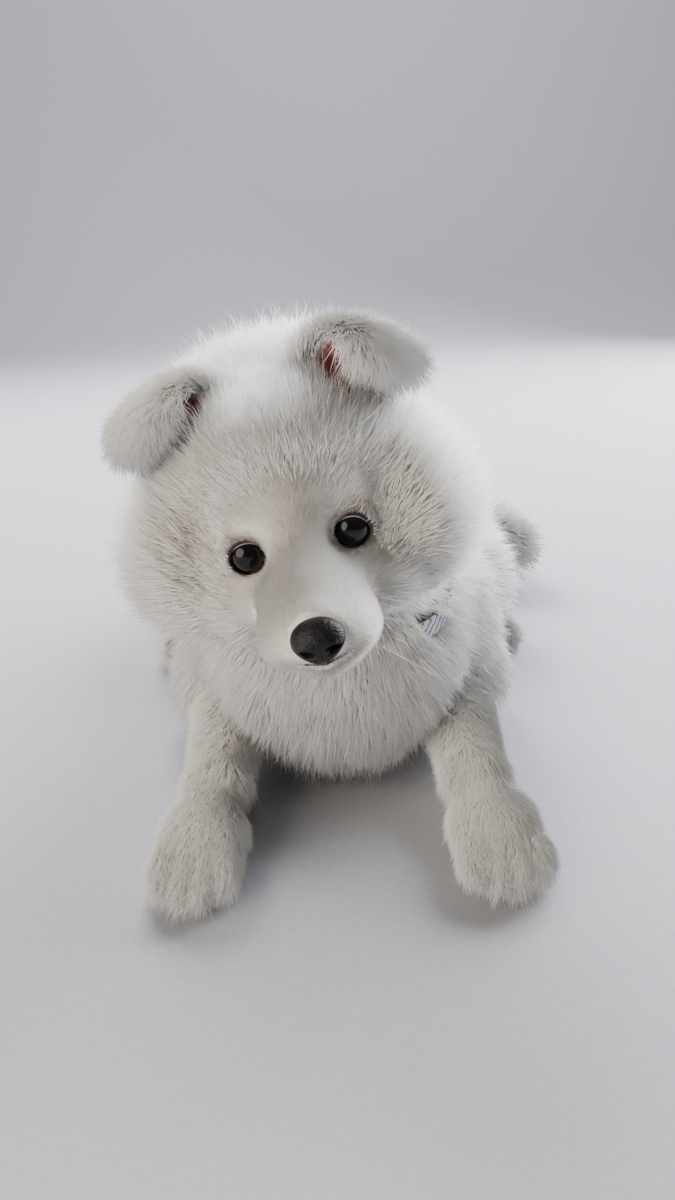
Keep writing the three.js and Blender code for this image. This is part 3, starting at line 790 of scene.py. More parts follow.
def makeLidRim(name, s):
    radius = (puppy["globeRadius"] + lids["thickness"] * 0.55) * mm
    flat = almondPoints(s, 0.15)
    depth = np.sqrt(np.maximum(radius ** 2 - (flat ** 2).sum(1), (3.4 * mm) ** 2))
    rim = np.stack([flat[:, 0], -depth, flat[:, 1]], 1) + eyeAt(s)
    upper = np.clip(flat[:, 1] / (lids["height"] / 2 * mm), 0, 1)
    radii = lids["rim"] * mm * (0.85 + 0.35 * upper)
    tube(f"lid_rim_{name}", fromHead(rim), radii, lidMaterial)
    # a thin glossy tube along the wet upper rim; its pale grey is a painted reflection of light on the tear
    # film
    wet = almondPoints(s, -0.55, 80)[6:30]
    depth = np.sqrt((puppy["globeRadius"] * 1.055 * mm) ** 2 - (wet ** 2).sum(1))
    wetRimLine = np.stack([wet[:, 0], -depth, wet[:, 1]], 1) + eyeAt(s)
    ends = np.sin(np.linspace(0.1, math.pi - 0.1, len(wetRimLine)))
    tube(f"wet_rim_highlight_{name}", fromHead(wetRimLine), 0.24 * mm * ends, wetRimHighlightMaterial, closed=False)


eyeMaterial = paintEye()
lidMaterial = paintDark("lidSkin", (0.010, 0.008, 0.008), 0.6)
# pale grey for the wet rim line: a painted reflection
wetRimHighlightMaterial = paintDark("wetRimHighlight", (0.30, 0.30, 0.32), 0.15)
for name, s in sides.items():
    makeEye(name, s)
    makeLidRim(name, s)
print("eyes and lids are in")


# nose: a broad pad with comma nostrils and the groove below it


nose = dict(at=(0, -puppy["noseReach"], -19.5), size=(puppy["noseWidth"] / 2, 8, 9.4),
            nostril=(4.9, -1.6), nostrilSize=(2.5, 1.7), nostrilDepth=4.2, groove=0.9)


def makeNose():
    bm = bmesh.new()
    bmesh.ops.create_icosphere(bm, subdivisions=6, radius=1)
    mesh = meshFrom(bm, "nose_leather")
    points = pointsOf(mesh)
    x, y, z = points.T.copy()
    size = np.array(nose["size"])
    narrow = 1 - 0.30 * np.clip(-z, 0, 1) ** 1.3 + 0.05 * np.clip(z, 0, 1)
    px = np.sign(x) * np.abs(x) ** 0.92 * size[0] * narrow
    py = y * size[1] * (1 - 0.12 * blend(0.2, 1, z))
    pz = np.sign(z) * np.abs(z) ** 0.9 * size[2] * (1 - 0.08 * x * x)
    front = blend(0.15, 0.6, -y)
    for s in (1, -1):
        dx = s * px - nose["nostril"][0]
        dz = pz - nose["nostril"][1] - 0.12 * dx
        hole = np.exp(-((dx / nose["nostrilSize"][0]) ** 2 + (dz / nose["nostrilSize"][1]) ** 2) ** 1.5)
        slit = np.exp(-((dz + 0.9) / 0.8) ** 2) * blend(0.5, 2.5, dx) * (1 - blend(4.5, 6.2, dx))
        wing = np.exp(-((dx - 1.2) / 3.2) ** 2 - ((dz - 2.4) / 1.6) ** 2)
        py = py + front * (nose["nostrilDepth"] * hole + 1.5 * slit - 0.7 * wing)
    groove = np.exp(-(px / 0.75) ** 2) * blend(-1.5, 3.5, -pz)
    py = py + front * nose["groove"] * groove
    moved = np.stack([px, py, pz], 1) * mm + vec(*nose["at"])
    movePoints(mesh, fromHead(moved))
    return meshPiece("nose_leather", mesh, paintNose(), ["nose"])


def reachFrom(origin, ray):
    inside, outer = 0.0, 90 * mm
    for _ in range(24):
        middle = (inside + outer) / 2
        if skinDistance(headPiece, (origin + ray * middle)[None])[0] < 0:
            inside = middle
        else:
            outer = middle
    return origin + ray * inside


mouthTurn = math.radians(62)


def mouthLine(count, reach=1.0):
    found = []
    for k in np.linspace(-reach, reach, count):
        turn = k * mouthTurn
        drop = -0.3 + 0.16 * abs(k) - 0.05 * math.cos(turn * 4)
        ray = np.array([-math.sin(turn) * math.cos(drop), -math.cos(turn) * math.cos(drop), math.sin(drop)])
        found.append(reachFrom(vec(0, -23, -24), ray))
    return np.array(found)


def makeMouth():
    line = mouthLine(41, 0.42)
    ends = np.sin(np.linspace(0.06, math.pi - 0.06, len(line))) ** 0.6
    tube("mouth_line", fromHead(line), 0.75 * mm * ends, mouthMaterial, closed=False)
    middle = mouthLine(3)[1]
    under = vec(0, -puppy["noseReach"] - 3.4, -26.6)
    drop = np.array([mix(under, middle + vec(0, -0.2, 0), k / 12) for k in range(13)])
    drop[:, 1] = np.minimum(drop[:, 1], drop[-1, 1] + 2 * mm)
    tube("philtrum", fromHead(drop), np.full(13, 0.55 * mm), mouthMaterial, closed=False)


makeNose()
mouthMaterial = paintDark("lipSkin", (0.045, 0.026, 0.026), 0.5)
makeMouth()
print("nose and mouth are in")


# ears: cupped leaves that rise from the skull and fold forward


earLean = {1: 0.5, -1: 0.3}
earRise = {1: 31, -1: 27}
earRoot = {1: (28, 42, 39), -1: (-31, 41, 36)}
earCourse = {1: [(0, 0, 0), (0.5, -4, 0), (0.92, 1, 1), (1, 10, 3), (0.88, 17, 6), (0.68, 20, 9)],
             -1: [(0, 0, 0), (0.5, -4, 0), (0.92, 1, 1), (1, 10, 3), (0.84, 18, 7), (0.60, 21, 11)]}


def earFrame(s):
    up = unit(np.array([s * earLean[s], 0.1, 0.9]))
    front = np.array([s * 0.38, -1, 0])
    front = unit(front - up * (front @ up))
    return up, front, np.cross(up, front) * -s


def earPath(s):
    up, front, across = earFrame(s)
    return [vec(*earRoot[s]) + (up * rise * earRise[s] + front * ahead - across * out) * mm
            for rise, ahead, out in earCourse[s]]


def makeEarMesh(name, s):
    bm = bmesh.new()
    bmesh.ops.create_uvsphere(bm, u_segments=48, v_segments=44, radius=1)
    mesh = meshFrom(bm, f"ear_skin_{name}")
    points = pointsOf(mesh)
    up, front, across = earFrame(s)
    stops = earPath(s)
    moved = np.zeros_like(points)
    rim, inner, along, sideways = (np.zeros(len(points)) for _ in range(4))
    way = np.zeros_like(points)
    for i, (a, b, c) in enumerate(points):
        t = (1 - c) / 2
        flat = math.hypot(a, b)
        edge = min(1, flat * 1.6)
        flat = flat or 1
        wide = puppy["earWidth"] / 2 * mm * max(1 - t ** 4.5, 0) ** 0.75
        step = 0.01
        low, high = max(t - step, 0), min(t + step, 1)
        ahead = unit(curvePoint(stops, high) - curvePoint(stops, low))
        normal = unit(np.cross(ahead, across))
        cup = 9 * mm * (1 - t) * (a / flat) ** 2
        at = curvePoint(stops, t) + across * (a / flat) * wide * edge + normal * (b / flat) * 4 * mm * edge
        moved[i] = at + front * cup * edge - ahead * c * abs(c) ** 6 * 4 * mm
        rim[i] = max(abs(a / flat), t)
        along[i], sideways[i] = t, a / flat
        inner[i] = b / flat
        way[i] = ahead + across * a / flat * 0.8
    movePoints(mesh, fromHead(moved))
    giveTone(mesh, "towardsRim", rim)
    bm = bmesh.new()
    bm.from_mesh(mesh)
    if bm.calc_volume(signed=True) < 0:
        bmesh.ops.reverse_faces(bm, faces=bm.faces)
    bm.to_mesh(mesh)
    bm.free()
    base = unit(np.cross(unit(curvePoint(stops, 0.1) - curvePoint(stops, 0)), across))
    inner = inner * math.copysign(1, base @ front)
    values = dict(rim=rim, along=along, sideways=sideways, inner=inner, way=way @ headSpin.T)
    return mesh, values


earMaterial = paintEar()
ears = {}
for name, s in sides.items():
    ears[s] = makeEarMesh(name, s)
    meshPiece(f"ear_skin_{name}", ears[s][0], earMaterial, [f"ear_{name}"])
print("ears are in")


# collar: a flat woven band, a ring round the neck


collar = dict(at=(8, 2, 96), across=55, along=50, rise=40, width=10, thickness=2.4, thread=1.6)


def makeCollar():
    bm = bmesh.new()
    half = collar["width"] / 2 * mm
    inner = (collar["across"] + 0.2) * mm
    outer = inner + (collar["thickness"] - 0.4) * mm
    outline = ((inner, -half), (outer, -half), (outer, half), (inner, half))
    corners = [bm.verts.new((r, 0, h)) for r, h in outline]
    ring = [bm.edges.new((corners[k], corners[(k + 1) % 4])) for k in range(4)]
    bmesh.ops.spin(bm, geom=corners + ring, axis=(0, 0, 1), cent=(0, 0, 0), steps=160,
                   angle=2 * math.pi, use_merge=True)
    bmesh.ops.recalc_face_normals(bm, faces=bm.faces)
    rims = [e for e in bm.edges if abs(e.verts[0].co.z - e.verts[1].co.z) < 1e-6
            and abs(e.verts[0].co.xy.length - e.verts[1].co.xy.length) < 1e-6]
    bmesh.ops.bevel(bm, geom=rims, offset=0.6 * mm, segments=2, profile=0.5, affect="EDGES", material=-1)
    layer = bm.loops.layers.uv.new("ribbon")
    for face in bm.faces:
        turns = [math.atan2(loop.vert.co.y, loop.vert.co.x) for loop in face.loops]
        for loop, turn in zip(face.loops, turns):
            if turn < max(turns) - math.pi:
                turn += 2 * math.pi
            across = turn * collar["across"] / collar["thread"]
            loop[layer].uv = (across, loop.vert.co.z / mm / collar["thread"])
    bmesh.ops.scale(bm, verts=bm.verts, vec=(1, collar["along"] / collar["across"], 1))
    for v in bm.verts:
        v.co.z += collarLift(v.co.y)
    bmesh.ops.translate(bm, verts=bm.verts, vec=Vector(vec(*collar["at"]) + rowShift))
    return meshPiece("collar_webbing", meshFrom(bm, "collar_webbing"), paintWebbing(), ["collar"])


def collarLift(y):
    return collar["rise"] * mm * blend(-collar["along"] * mm, collar["along"] * mm, y)


makeCollar()
print("collar is on")


# fur: closed tapered tufts rooted in the skin


def surfaceOf(mesh, triangles):
    points = pointsOf(mesh)
    a, b, c = (points[triangles[:, k]] for k in range(3))
    cross = np.cross(b - a, c - a)
    flat = np.zeros(len(points) * 3, np.float32)
    mesh.vertices.foreach_get("normal", flat)
    return dict(points=points, triangles=triangles, area=np.linalg.norm(cross, axis=1) / 2,
                middle=(a + b + c) / 3, facing=unit(cross), normals=flat.reshape(-1, 3).astype(float))


def rootsOn(surface, count, random, chance):
    total = np.cumsum(surface["area"] * chance)
    picks = (np.arange(count) + random.random(count)) / count * total[-1]
    chosen = np.minimum(np.searchsorted(total, picks), len(total) - 1)
    u, v = random.random(count), random.random(count)
    over = u + v > 1
    u[over], v[over] = 1 - u[over], 1 - v[over]
    corners = surface["triangles"][chosen]
    weights = np.stack([1 - u - v, u, v], 1)

    def at(values):
        values = values if values.ndim > 1 else values[:, None]
        return (values[corners] * weights[:, :, None]).sum(1)

    return at(surface["points"]), unit(at(surface["normals"])), at


def clumped(tips, roots, random, every, pull):
    centres = random.choice(len(roots), max(len(roots) // every, 1), replace=False)
    tree = kdtree.KDTree(len(centres))
    for i, c in enumerate(centres):
        tree.insert(roots[c], i)
    tree.balance()
    nearest = np.array([tree.find(r)[1] for r in roots])
    aim = (tips - roots)[centres][nearest]
    goal = roots[centres][nearest] + aim
    share = np.clip(pull * (0.5 + random.random(len(roots))), 0, 1)
    return mix(tips, goal, share[:, None])


def unwrapped(points, normals, nearest):
    tiles = sorted(set(nearest.tolist()))
    grid = math.ceil(math.sqrt(len(tiles)))
    uv = np.zeros((len(points), 2))
    for n, i in enumerate(tiles):
        chosen = nearest == i
        q = points[chosen]
        q = toHead(q) if pieces[i]["part"] == "head" else toMaker(q)
        start, end = pieces[i]["spine"]
        along = end - start
        axis = along / np.linalg.norm(along)
        side = unit(np.cross(axis, (0, 0, 1)))
        up = np.cross(side, axis)
        out = q - (start + end) / 2
        if pieces[i]["part"] == "head":
            way = unit(out)
            v = (way @ axis + 1) / 2
        else:
            v = np.clip(out @ axis / np.linalg.norm(along) * 0.55 + 0.5, 0, 1)
        u = np.arctan2(out @ up, out @ side) / (2 * math.pi) + 0.5
        column, row = n % grid, n // grid
        uv[chosen] = np.stack([column + 0.03 + u * 0.93, row + 0.03 + v * 0.93], 1) / grid
    return uv


patch = 0.003
floorRest = 0.4


def makeTufts(name, courses, outs, widths, unwrap, material, tint=0.0, flat=0.6):
    count, rings = courses.shape[0], courses.shape[1] - 1
    bent = rings > 1  # a bent tuft starts at a point in the skin, a straight one on a triangle
    ahead = np.gradient(courses, axis=1)
    ahead = unit(ahead)
    across = unit(np.cross(ahead, outs[:, None, :]))
    thick = np.cross(across, ahead)
    shares = np.linspace(0, 1, rings + 1)
    profile = np.interp(shares, [0, 0.3, 0.75, 1], [0.8, 1, 0.75, 0])
    corners = [(math.cos(t), math.sin(t)) for t in (math.pi / 2, math.pi / 2 + 2 * math.pi / 3,
                                                   math.pi / 2 + 4 * math.pi / 3)]
    used = range(1, rings) if bent else range(rings)
    stride = len(used) * 3 + (2 if bent else 1)
    points = np.zeros((count, stride, 3), np.float32)
    for n, k in enumerate(used):
        half = widths[:, None] / 2 * profile[k]
        for j, (a, b) in enumerate(corners):
            points[:, n * 3 + j] = courses[:, k] + across[:, k] * half * a + thick[:, k] * half * b * flat
    tip = len(used) * 3
    points[:, tip] = courses[:, -1]
    if bent:
        points[:, tip + 1] = courses[:, 0]
    points[:, :, 2] = np.maximum(points[:, :, 2], floorRest * mm)
    pattern = [(tip + 1, (j + 1) % 3, j) for j in range(3)] if bent else [(0, 2, 1)]
    for n in range(len(used) - 1):
        for j in range(3):
            p, q = n * 3 + j, n * 3 + (j + 1) % 3
            pattern += [(p, q, q + 3), (p, q + 3, p + 3)]
    pattern += [(tip - 3 + j, tip - 3 + (j + 1) % 3, tip) for j in range(3)]
    pattern = np.array(pattern, np.int32)
    faces = (pattern[None] + (np.arange(count) * stride)[:, None, None]).reshape(-1, 3)
    mesh = bpy.data.meshes.new(name)
    mesh.vertices.add(count * stride)
    mesh.vertices.foreach_set("co", points.ravel())
    mesh.loops.add(len(faces) * 3)
    mesh.loops.foreach_set("vertex_index", faces.ravel().astype(np.int32))
    mesh.polygons.add(len(faces))
    mesh.polygons.foreach_set("loop_start", np.arange(0, len(faces) * 3, 3, dtype=np.int32))
    mesh.update(calc_edges=True)
    along = np.concatenate([np.repeat(shares[list(used)], 3), [1, 0][:stride - tip]])
    sideways = np.append(np.tile([0.5, 0.0, 1.0], len(used)), [0.5] * (stride - tip))
    giveTone(mesh, "along", np.tile(along, count))
    giveTone(mesh, "tint", np.repeat(np.broadcast_to(tint, count), stride))
    layer = mesh.uv_layers.new(name="OFBake")
    spots = unwrap[:, None, :] + np.stack([sideways, along], 1)[None] * patch
    layer.data.foreach_set("uv", spots.reshape(-1, 2)[faces.ravel()].astype(np.float32).ravel())
    made = meshPiece(name, mesh, material)
    print(name, len(faces), "triangles")
    return made


noseFront = fromHead(vec(0, -62, -22)[None])[0]
tailPoints = np.array(tailLine) * mm + rowShift
tailWays = unit(np.gradient(tailPoints, axis=0))


def lieOf(points, nearest):
    parts = np.array([p["part"] for p in pieces])[nearest]
    maker = toMaker(points)
    lie = np.zeros_like(points)
    bib = 1 - blend(-20 * mm, 40 * mm, maker[:, 1])
    torsoLie = np.stack([np.zeros(len(points)), 1 - bib, -0.4 - bib], 1)
    plain = dict(neck=(0, 1, -0.9), arm=(0, 0.25, -1), forearm=(0, -1, -0.15), foot=(0, -1, -0.1))
    for part in set(parts):
        chosen = parts == part
        if part == "head":
            behind = blend(30 * mm, 80 * mm, toHead(points[chosen])[:, 1])[:, None]
            lie[chosen] = unit(points[chosen] - noseFront) + behind * np.array([0, 0.1, -1.3])
        elif part == "thigh":
            outward = unit(maker[chosen] - vec(0, rump[1] - 60, 70))
            lie[chosen] = 0.6 * outward + np.array([0, 0.65, -0.7])
        elif part == "torso":
            lie[chosen] = torsoLie[chosen]
        elif part == "tail":
            gaps = np.linalg.norm(points[chosen][:, None] - tailPoints[None], axis=2)
            lie[chosen] = tailWays[gaps.argmin(1)]
        else:
            lie[chosen] = plain[part]
    return unit(lie)


# the lie runs smoothly from one part to the next
def smoothed(mesh, values, rounds=25):
    flat = np.zeros(len(mesh.edges) * 2, np.int32)
    mesh.edges.foreach_get("vertices", flat)
    a, b = flat.reshape(-1, 2).T
    for _ in range(rounds):
        total = values.copy()
        np.add.at(total, a, values[b])
        np.add.at(total, b, values[a])
        values = unit(total)
    return values


# the lie along the skin, fading out where the coat stands straight up
def laidOn(normals, lie):
    flat = lie - normals * (lie * normals).sum(1)[:, None]
    return flat / np.maximum(np.linalg.norm(flat, axis=1), 0.5)[:, None]


def nearFeatures(headPoints):
    clear = np.ones(len(headPoints), bool)
    for s in (1, -1):
        local = headPoints - eyeAt(s)
        lift = math.radians(lids["lift"]) * s
        x = local[:, 0] * math.cos(lift) - local[:, 2] * math.sin(lift)
        z = local[:, 0] * math.sin(lift) + local[:, 2] * math.cos(lift)
        inside = (x / (lids["width"] / 2 + 0.1)) ** 2 + (z / (lids["height"] / 2 + 0.1)) ** 2 < mm ** 2
        clear &= ~(inside & (local[:, 1] < 2 * mm))
    k = (headPoints - vec(*nose["at"])) / vec(*nose["size"])
    clear &= np.linalg.norm(k, axis=1) > 1.06
    line = mouthLine(31, 0.36)
    gaps = np.linalg.norm(headPoints[:, None] - line[None], axis=2).min(1)
    return clear & (gaps > 0.8 * mm)


def featureFade(headPoints):
    eyes = eyeGap(headPoints)
    snout = np.linalg.norm(headPoints - vec(*nose["at"]), axis=1)
    return (0.3 + 0.7 * blend(9 * mm, 30 * mm, eyes)) * (0.5 + 0.5 * blend(11 * mm, 22 * mm, snout))


# greyer, warmer hair close round the eyes, the nose and the line of the mouth: painted shade round the eye
# sockets with a slight tear stain, and the hair's own darker tone by the nose and mouth
def faceShadeAndTone(headPoints):
    mouth = np.linalg.norm(headPoints[:, None] - mouthLine(9, 0.5)[None], axis=2).min(1)
    shade = 1 - blend(9.5 * mm, 16 * mm, eyeGap(headPoints))
    return np.maximum(shade, 0.6 * (1 - blend(1.5 * mm, 5 * mm, mouth)))


# painted shade in the furrows between the toes
def toeFurrowShade(maker):
    shade = np.zeros(len(maker))
    for s in (1, -1):
        for *_, paw in (forelegJoints(s), hindLegJoints(s)):
            across = (maker[:, 0] / mm - paw[0] - s * toeRow["out"]) / puppy["toeSpread"]
            ahead = blend(6, 22, paw[1] - maker[:, 1] / mm)
            near = np.abs(across) < 1.6
            for furrow in (-0.98, 0, 0.98):
                shade += 0.55 * near * ahead * np.exp(-((across - furrow) / 0.17) ** 2)
    return np.clip(shade, 0, 1)


def partIs(nearest, *names):
    return np.isin(np.array([p["part"] for p in pieces])[nearest], names)


coatSets = dict(
    face=dict(count=46000, rings=1, width=0.8, seed=31, far=1.0, clump=12, pull=0.12, look="short"),
    head_left=dict(count=32500, rings=2, width=0.95, seed=32, far=1.0, clump=30, pull=0.2, look="long"),
    head_right=dict(count=32500, rings=2, width=0.95, seed=33, far=1.0, clump=30, pull=0.2, look="long"),
    ruff=dict(count=32500, rings=2, width=1.3, seed=34, far=1.1, clump=60, pull=0.4, look="long"),
    back=dict(count=27000, rings=2, width=1.9, seed=35, far=1.4, clump=36, pull=0.28, look="long"),
    rear=dict(count=24500, rings=2, width=2.1, seed=36, far=1.4, clump=36, pull=0.14, look="long"),
    legs_left=dict(count=27500, rings=1, width=1.7, seed=37, far=1.1, high=0.75, clump=18, pull=0.1,
                   look="leg"),
    legs_right=dict(count=27500, rings=1, width=1.7, seed=38, far=1.1, high=0.75, clump=18, pull=0.1,
                    look="leg"),
    tail=dict(count=12500, rings=2, width=2.3, seed=39, far=1.1, clump=30, pull=0.08, look="long"),
)
uneven = 0.14  # the most that one tuft is darker than the next
shortFace = (6, 13)  # the short face coat gives way to the long one between these lengths
frontOfBack = 130
stiffness = dict(short=4, long=24, high=(0.5, 0.95), far=(1.7, 0.75), width=(0.65, 0.95))
wisps = dict(share=0.16, thin=0.5, long=1.2, stray=0.34, firm=0.1)
# each pair is the least and how much more at most
growth = dict(size=(0.76, 0.30), reach=(0.75, 0.5), width=(0.7, 0.6), drift=0.05, sunk=0.8)


def varied(kind, random, count):
    least, more = growth[kind]
    return least + more * random.random(count)



def belongs(name, points, nearest, length):
    head = partIs(nearest, "head")
    maker = toMaker(points)
    x = toHead(points)[:, 0]
    longer = blend(shortFace[0] * mm, shortFace[1] * mm, length)
    front = maker[:, 1] < 20 * mm
    torso = partIs(nearest, "torso")
    legs = partIs(nearest, "forearm", "foot")
    return dict(
        face=head * (1 - longer),
        head_left=head * longer * (x >= 0),
        head_right=head * longer * (x < 0),
        ruff=partIs(nearest, "neck") | (torso & front),
        back=(partIs(nearest, "arm") | (torso & ~front)) & (maker[:, 1] < frontOfBack * mm),
        rear=(torso | partIs(nearest, "thigh")) & (maker[:, 1] >= frontOfBack * mm),
        legs_left=legs & (maker[:, 0] > 0),
        legs_right=legs & (maker[:, 0] <= 0),
        tail=partIs(nearest, "tail"),
    )[name]


def strands(roots, normals, lie, length, settings, random):
    count = len(roots)
    soft = blend(stiffness["short"] * mm, stiffness["long"] * mm, length)
    high = mix(*stiffness["high"], soft) * settings.get("high", 1)
    far = mix(*stiffness["far"], soft) * settings["far"]
    wide = mix(*stiffness["width"], soft) * settings["width"]
    stray = random.random(count) < wisps["share"]
    side = np.cross(normals, lie)
    sway = random.normal(0, 1, count) * np.where(stray, wisps["stray"] * 1.6, wisps["stray"] * 0.75)
    laid = np.linalg.norm(lie, axis=1)
    lie = unit(lie + side * sway[:, None]) * laid[:, None]
    size = length * varied("size", random, count) * np.where(stray, wisps["long"], 1)
    size = size * (1.4 - 0.4 * laid)
    raised = roots + normals * (size * high)[:, None]
    tips = raised + lie * (length * far * varied("reach", random, count))[:, None]
    pull = np.where(stray, wisps["firm"], settings["pull"])
    tips = clumped(tips, roots, random, settings["clump"], pull)
    shares = np.linspace(0, 1, settings["rings"] + 1) ** 1.2
    reach = tips - roots
    rise = (reach * normals).sum(1)[:, None] * normals
    drift = random.normal(0, growth["drift"], (count, 3)) * length[:, None]
    courses = np.stack([roots + rise * t ** 0.7 + (reach - rise) * t ** 1.5 + drift * math.sin(t * math.pi)
                        for t in shares], 1)
    courses[:, 0] -= normals * growth["sunk"] * mm
    widths = wide * mm * varied("width", random, count) * np.where(stray, wisps["thin"], 1)
    return courses, widths * 1


def howMany(settings):
    return settings["count"] // 1


# where the coat shows the collar
parting = dict(turn=-40, right=3.0, lower=3.8, wide=12, high=4.6, way=(0.0, -0.93, 0.37))
cupOpening = {1: dict(up=13, front=11, medial=5, size=12), -1: dict(up=12, front=12, medial=8, size=13)}


def between(courses):
    spans = range(courses.shape[1] - 1)
    return np.stack([mix(courses[:, k], courses[:, k + 1], t) for k in spans for t in (0.4, 0.7, 1)], 1)


def partedByCollar(courses):
    turn = math.radians(parting["turn"])
    y = collar["along"] * mm * math.sin(turn)
    spot = np.array([collar["across"] * mm * math.cos(turn), y, collarLift(y)]) + vec(*collar["at"])
    off = (toMaker(courses) - spot) / mm + (-parting["right"], 0, parting["lower"])
    way = unit(np.array(parting["way"]))
    side = np.array([1.0, 0, 0])
    inWindow = (off @ side / parting["wide"]) ** 2 + (off @ np.cross(side, way) / parting["high"]) ** 2 < 1
    return (inWindow & (off @ way > -3)).any(1)


def openToEars(courses):
    inHead = toHead(courses)
    hidden = np.zeros(len(courses), bool)
    for s in sides.values():
        up, front, across = earFrame(s)
        cup = cupOpening[s]
        at = vec(*earRoot[s]) + (up * cup["up"] + front * cup["front"] + across * cup["medial"]) * mm
        hidden |= (np.linalg.norm(inHead - at, axis=2) < cup["size"] * mm).any(1)
    return hidden


def makeCoat(name, settings, material):
    random = np.random.default_rng(settings["seed"])
    under = mix(0.25, 1.0, blend(-0.8, -0.2, hide["facing"][:, 2]))
    mine = belongs(name, hide["middle"], hide["nearest"], hide["length"])
    chance = mine * under / (hide["length"] + 5 * mm)
    roots, normals, at = rootsOn(hide, howMany(settings), random, chance)
    lie = at(hide["lie"])
    _, length, nearest = wholeSkin(roots)
    head = partIs(nearest, "head")
    inHead = toHead(roots)
    length = np.where(head, length * featureFade(inHead), length)
    clear = nearFeatures(inHead) if name == "face" else np.ones(len(roots), bool)
    roots, normals, length, nearest = roots[clear], normals[clear], length[clear], nearest[clear]
    courses, widths = strands(roots, normals, laidOn(normals, lie[clear]), length, settings, random)
    unwrap = unwrapped(roots, normals, nearest)
    dense = between(courses)
    kept = ~partedByCollar(dense)
    if "head" in name:
        kept &= ~openToEars(dense)
    # painted shade round the eyes on the face and in the toe furrows on the legs, on top of each tuft's own
    # uneven tone
    tint = np.zeros(len(roots))
    if name == "face":
        tint = faceShadeAndTone(inHead[clear])
    if "legs" in name:
        tint = toeFurrowShade(toMaker(roots))
    tint = np.clip(tint[kept] + uneven * random.random(kept.sum()) ** 2, 0, 1)
    return makeTufts(f"coat_{name}", courses[kept], normals[kept], widths[kept], unwrap[kept], material,
                     tint)


# the ears are furred on their backs and round their rims, and thinly in the cup


earFur = dict(count=11500, rings=2, width=1.0, seed=41, far=1.0, clump=16, pull=0.2, look="leg",
              back=9, rim=10, tip=7, base=18, cup=2.5, cupShare=0.02, cupRim=0.92)


def makeEarCoat(name, s, material):
    random = np.random.default_rng(earFur["seed"] + s)
    mesh, values = ears[s]
    # a uvsphere's faces come in another order each run
    surface = surfaceOf(mesh, inOrder(trianglesOf(mesh)))
    corners = surface["triangles"]
    inner = values["inner"][corners].mean(1) > 0.1
    rim = values["rim"][corners].mean(1)
    chance = np.where(inner & (rim < earFur["cupRim"]), earFur["cupShare"], 1.0)
    roots, normals, at = rootsOn(surface, howMany(earFur), random, chance)
    rim = at(values["rim"])[:, 0]
    along = at(values["along"])[:, 0]
    inner = at(values["inner"])[:, 0] > 0.1
    length = mix(earFur["back"], earFur["rim"], blend(0.55, 0.95, rim))
    length = mix(length, earFur["base"], 1 - blend(0.05, 0.35, along))
    length = mix(length, earFur["tip"], blend(0.75, 0.95, along))
    length = np.where(inner, np.minimum(length, earFur["cup"]), length) * mm
    courses, widths = strands(roots, normals, laidOn(normals, at(values["way"])), length, earFur, random)
    unwrap = np.stack([0.03 + 0.45 * inner + 0.42 * (at(values["sideways"])[:, 0] * 0.5 + 0.5),
                       0.03 + along * 0.93], 1)
    tint = uneven * random.random(len(roots)) ** 2
    return makeTufts(f"coat_ear_{name}", courses, normals, widths, unwrap, material, tint)


# claws on the four toes of each paw

claws = dict(length=11, radius=2.0, bend=2.6, drop=2.5, turn=100, foreReach=13, hindReach=11)


def makeClaws(name, s, paw, reach):
    bm = bmesh.new()
    turn = Matrix.Rotation(math.radians(claws["turn"]), 4, "X")
    for x, y, z in toeMiddles(paw, s):
        place = Matrix.Translation(Vector((x, y - reach, z - claws["drop"])) * mm + Vector(rowShift))
        made = bmesh.ops.create_cone(bm, cap_ends=True, segments=12, radius1=claws["radius"] * mm,
                                     radius2=0.35 * mm, depth=claws["length"] * mm, matrix=place @ turn)
        edges = dict.fromkeys(e for v in made["verts"] for e in v.link_edges)
        rims = [e for e in edges if max(len(f.verts) for f in e.link_faces) > 4]
        bmesh.ops.bevel(bm, geom=rims, offset=0.25 * mm, segments=2, profile=0.5, affect="EDGES",
                        material=-1)
    ys = [v.co.y for v in bm.verts]
    far, near = min(ys), max(ys)
    for v in bm.verts:
        v.co.z -= claws["bend"] * mm * ((near - v.co.y) / (near - far)) ** 2
        v.co.z = max(v.co.z, 0.5 * mm)
    return meshPiece(f"claws_{name}", meshFrom(bm, f"claws_{name}"), clawMaterial)


clawMaterial = paintDark("clawHorn", (0.12, 0.09, 0.08), 0.5)
for name, s in sides.items():
    makeClaws(f"fore_{name}", s, forelegJoints(s)[-1], claws["foreReach"])
    makeClaws(f"hind_{name}", s, hindLegJoints(s)[-1], claws["hindReach"])
print("claws are in")


# whiskers on the lips and a few long hairs over the eyes

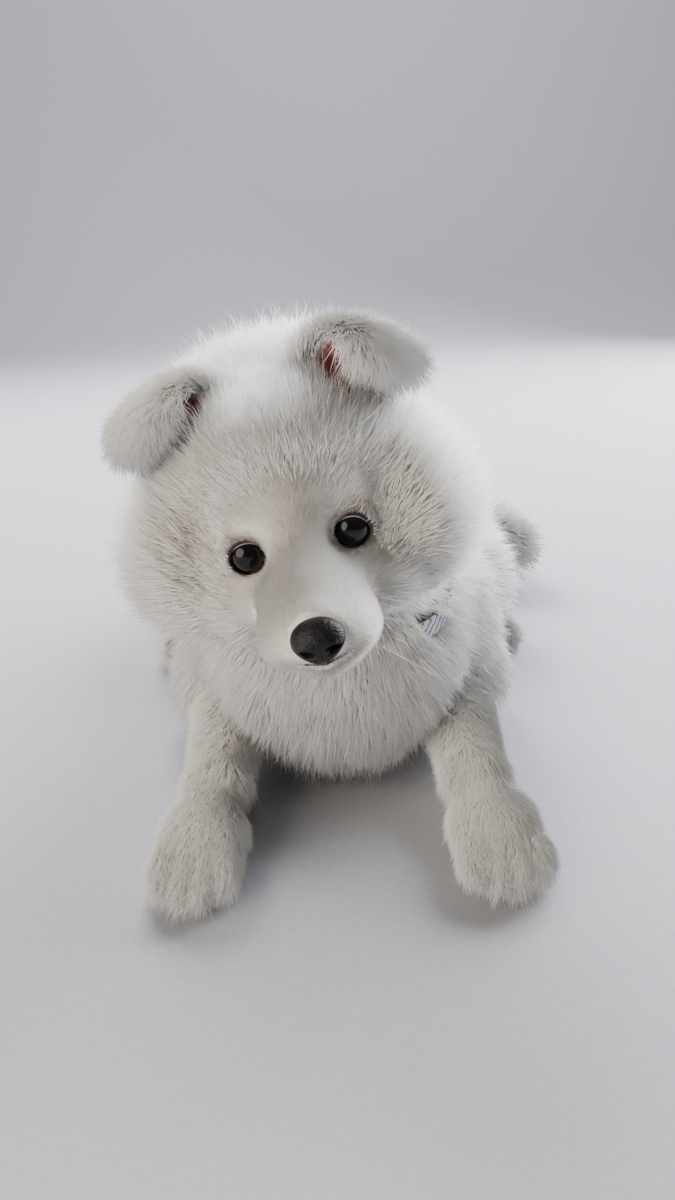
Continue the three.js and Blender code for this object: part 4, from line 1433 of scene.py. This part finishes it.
whiskers = dict(rows=2, columns=5, length=(18, 32), width=0.3, seed=51)


def makeWhiskers():
    random = np.random.default_rng(whiskers["seed"])
    spots = []
    for s in (1, -1):
        for row in range(whiskers["rows"]):
            for column in range(whiskers["columns"]):
                spots.append((s * (15 + 1.5 * column), -37 + 5.5 * column, -23 - 4.6 * row, s))
        spots += [(s * (19 + 2.2 * k), -6, 12, s) for k in range(3)]
    spots = np.array(spots)
    where = spots[:, :3] * mm + random.normal(0, 0.7, (len(spots), 3)) * mm
    field = lambda q: skinDistance(headPiece, q)
    where = settle(where, field, 6)
    out = unit(slopeOf(field, where))
    brow = spots[:, 2] > 0
    way = np.stack([spots[:, 3] * np.where(brow, 0.5, 0.75), np.where(brow, -0.5, 0.15),
                    np.where(brow, 0.8, -0.55)], 1)
    way = unit(way + out * 0.5 + random.normal(0, 0.12, way.shape))
    size = (whiskers["length"][0] + random.random(len(spots)) * np.ptp(whiskers["length"])) * mm
    size = np.where(brow, 0.5 * size, size)
    shares = np.linspace(0, 1, 6)
    fall = np.array([0, 0, -0.16])
    courses = np.stack([where + (way * t + fall * t * t + out * 0.12 * math.sin(math.pi * t)) * size[:, None]
                        for t in shares], 1)
    flat = fromHead(courses.reshape(-1, 3)).reshape(courses.shape)
    unwrap = np.stack([0.03 + 0.9 * random.random(len(spots)), 0.03 + 0.9 * random.random(len(spots))], 1)
    widths = np.full(len(spots), whiskers["width"] * mm)
    return makeTufts("whiskers", flat, unit(out @ headSpin.T), widths, unwrap, furMaterials["short"],
                     flat=1.0)


furMaterials = {key: paintFur(f"{key}Fur", look) for key, look in furLooks.items()}
makeWhiskers()
hide = surfaceOf(skinMesh, trianglesOf(skinMesh))
_, hide["length"], hide["nearest"] = wholeSkin(hide["middle"])
hide["lie"] = smoothed(skinMesh, lieOf(hide["points"], wholeSkin(hide["points"])[2]))
for name, settings in coatSets.items():
    makeCoat(name, settings, furMaterials[settings["look"]])
for name, s in sides.items():
    makeEarCoat(name, s, furMaterials[earFur["look"]])
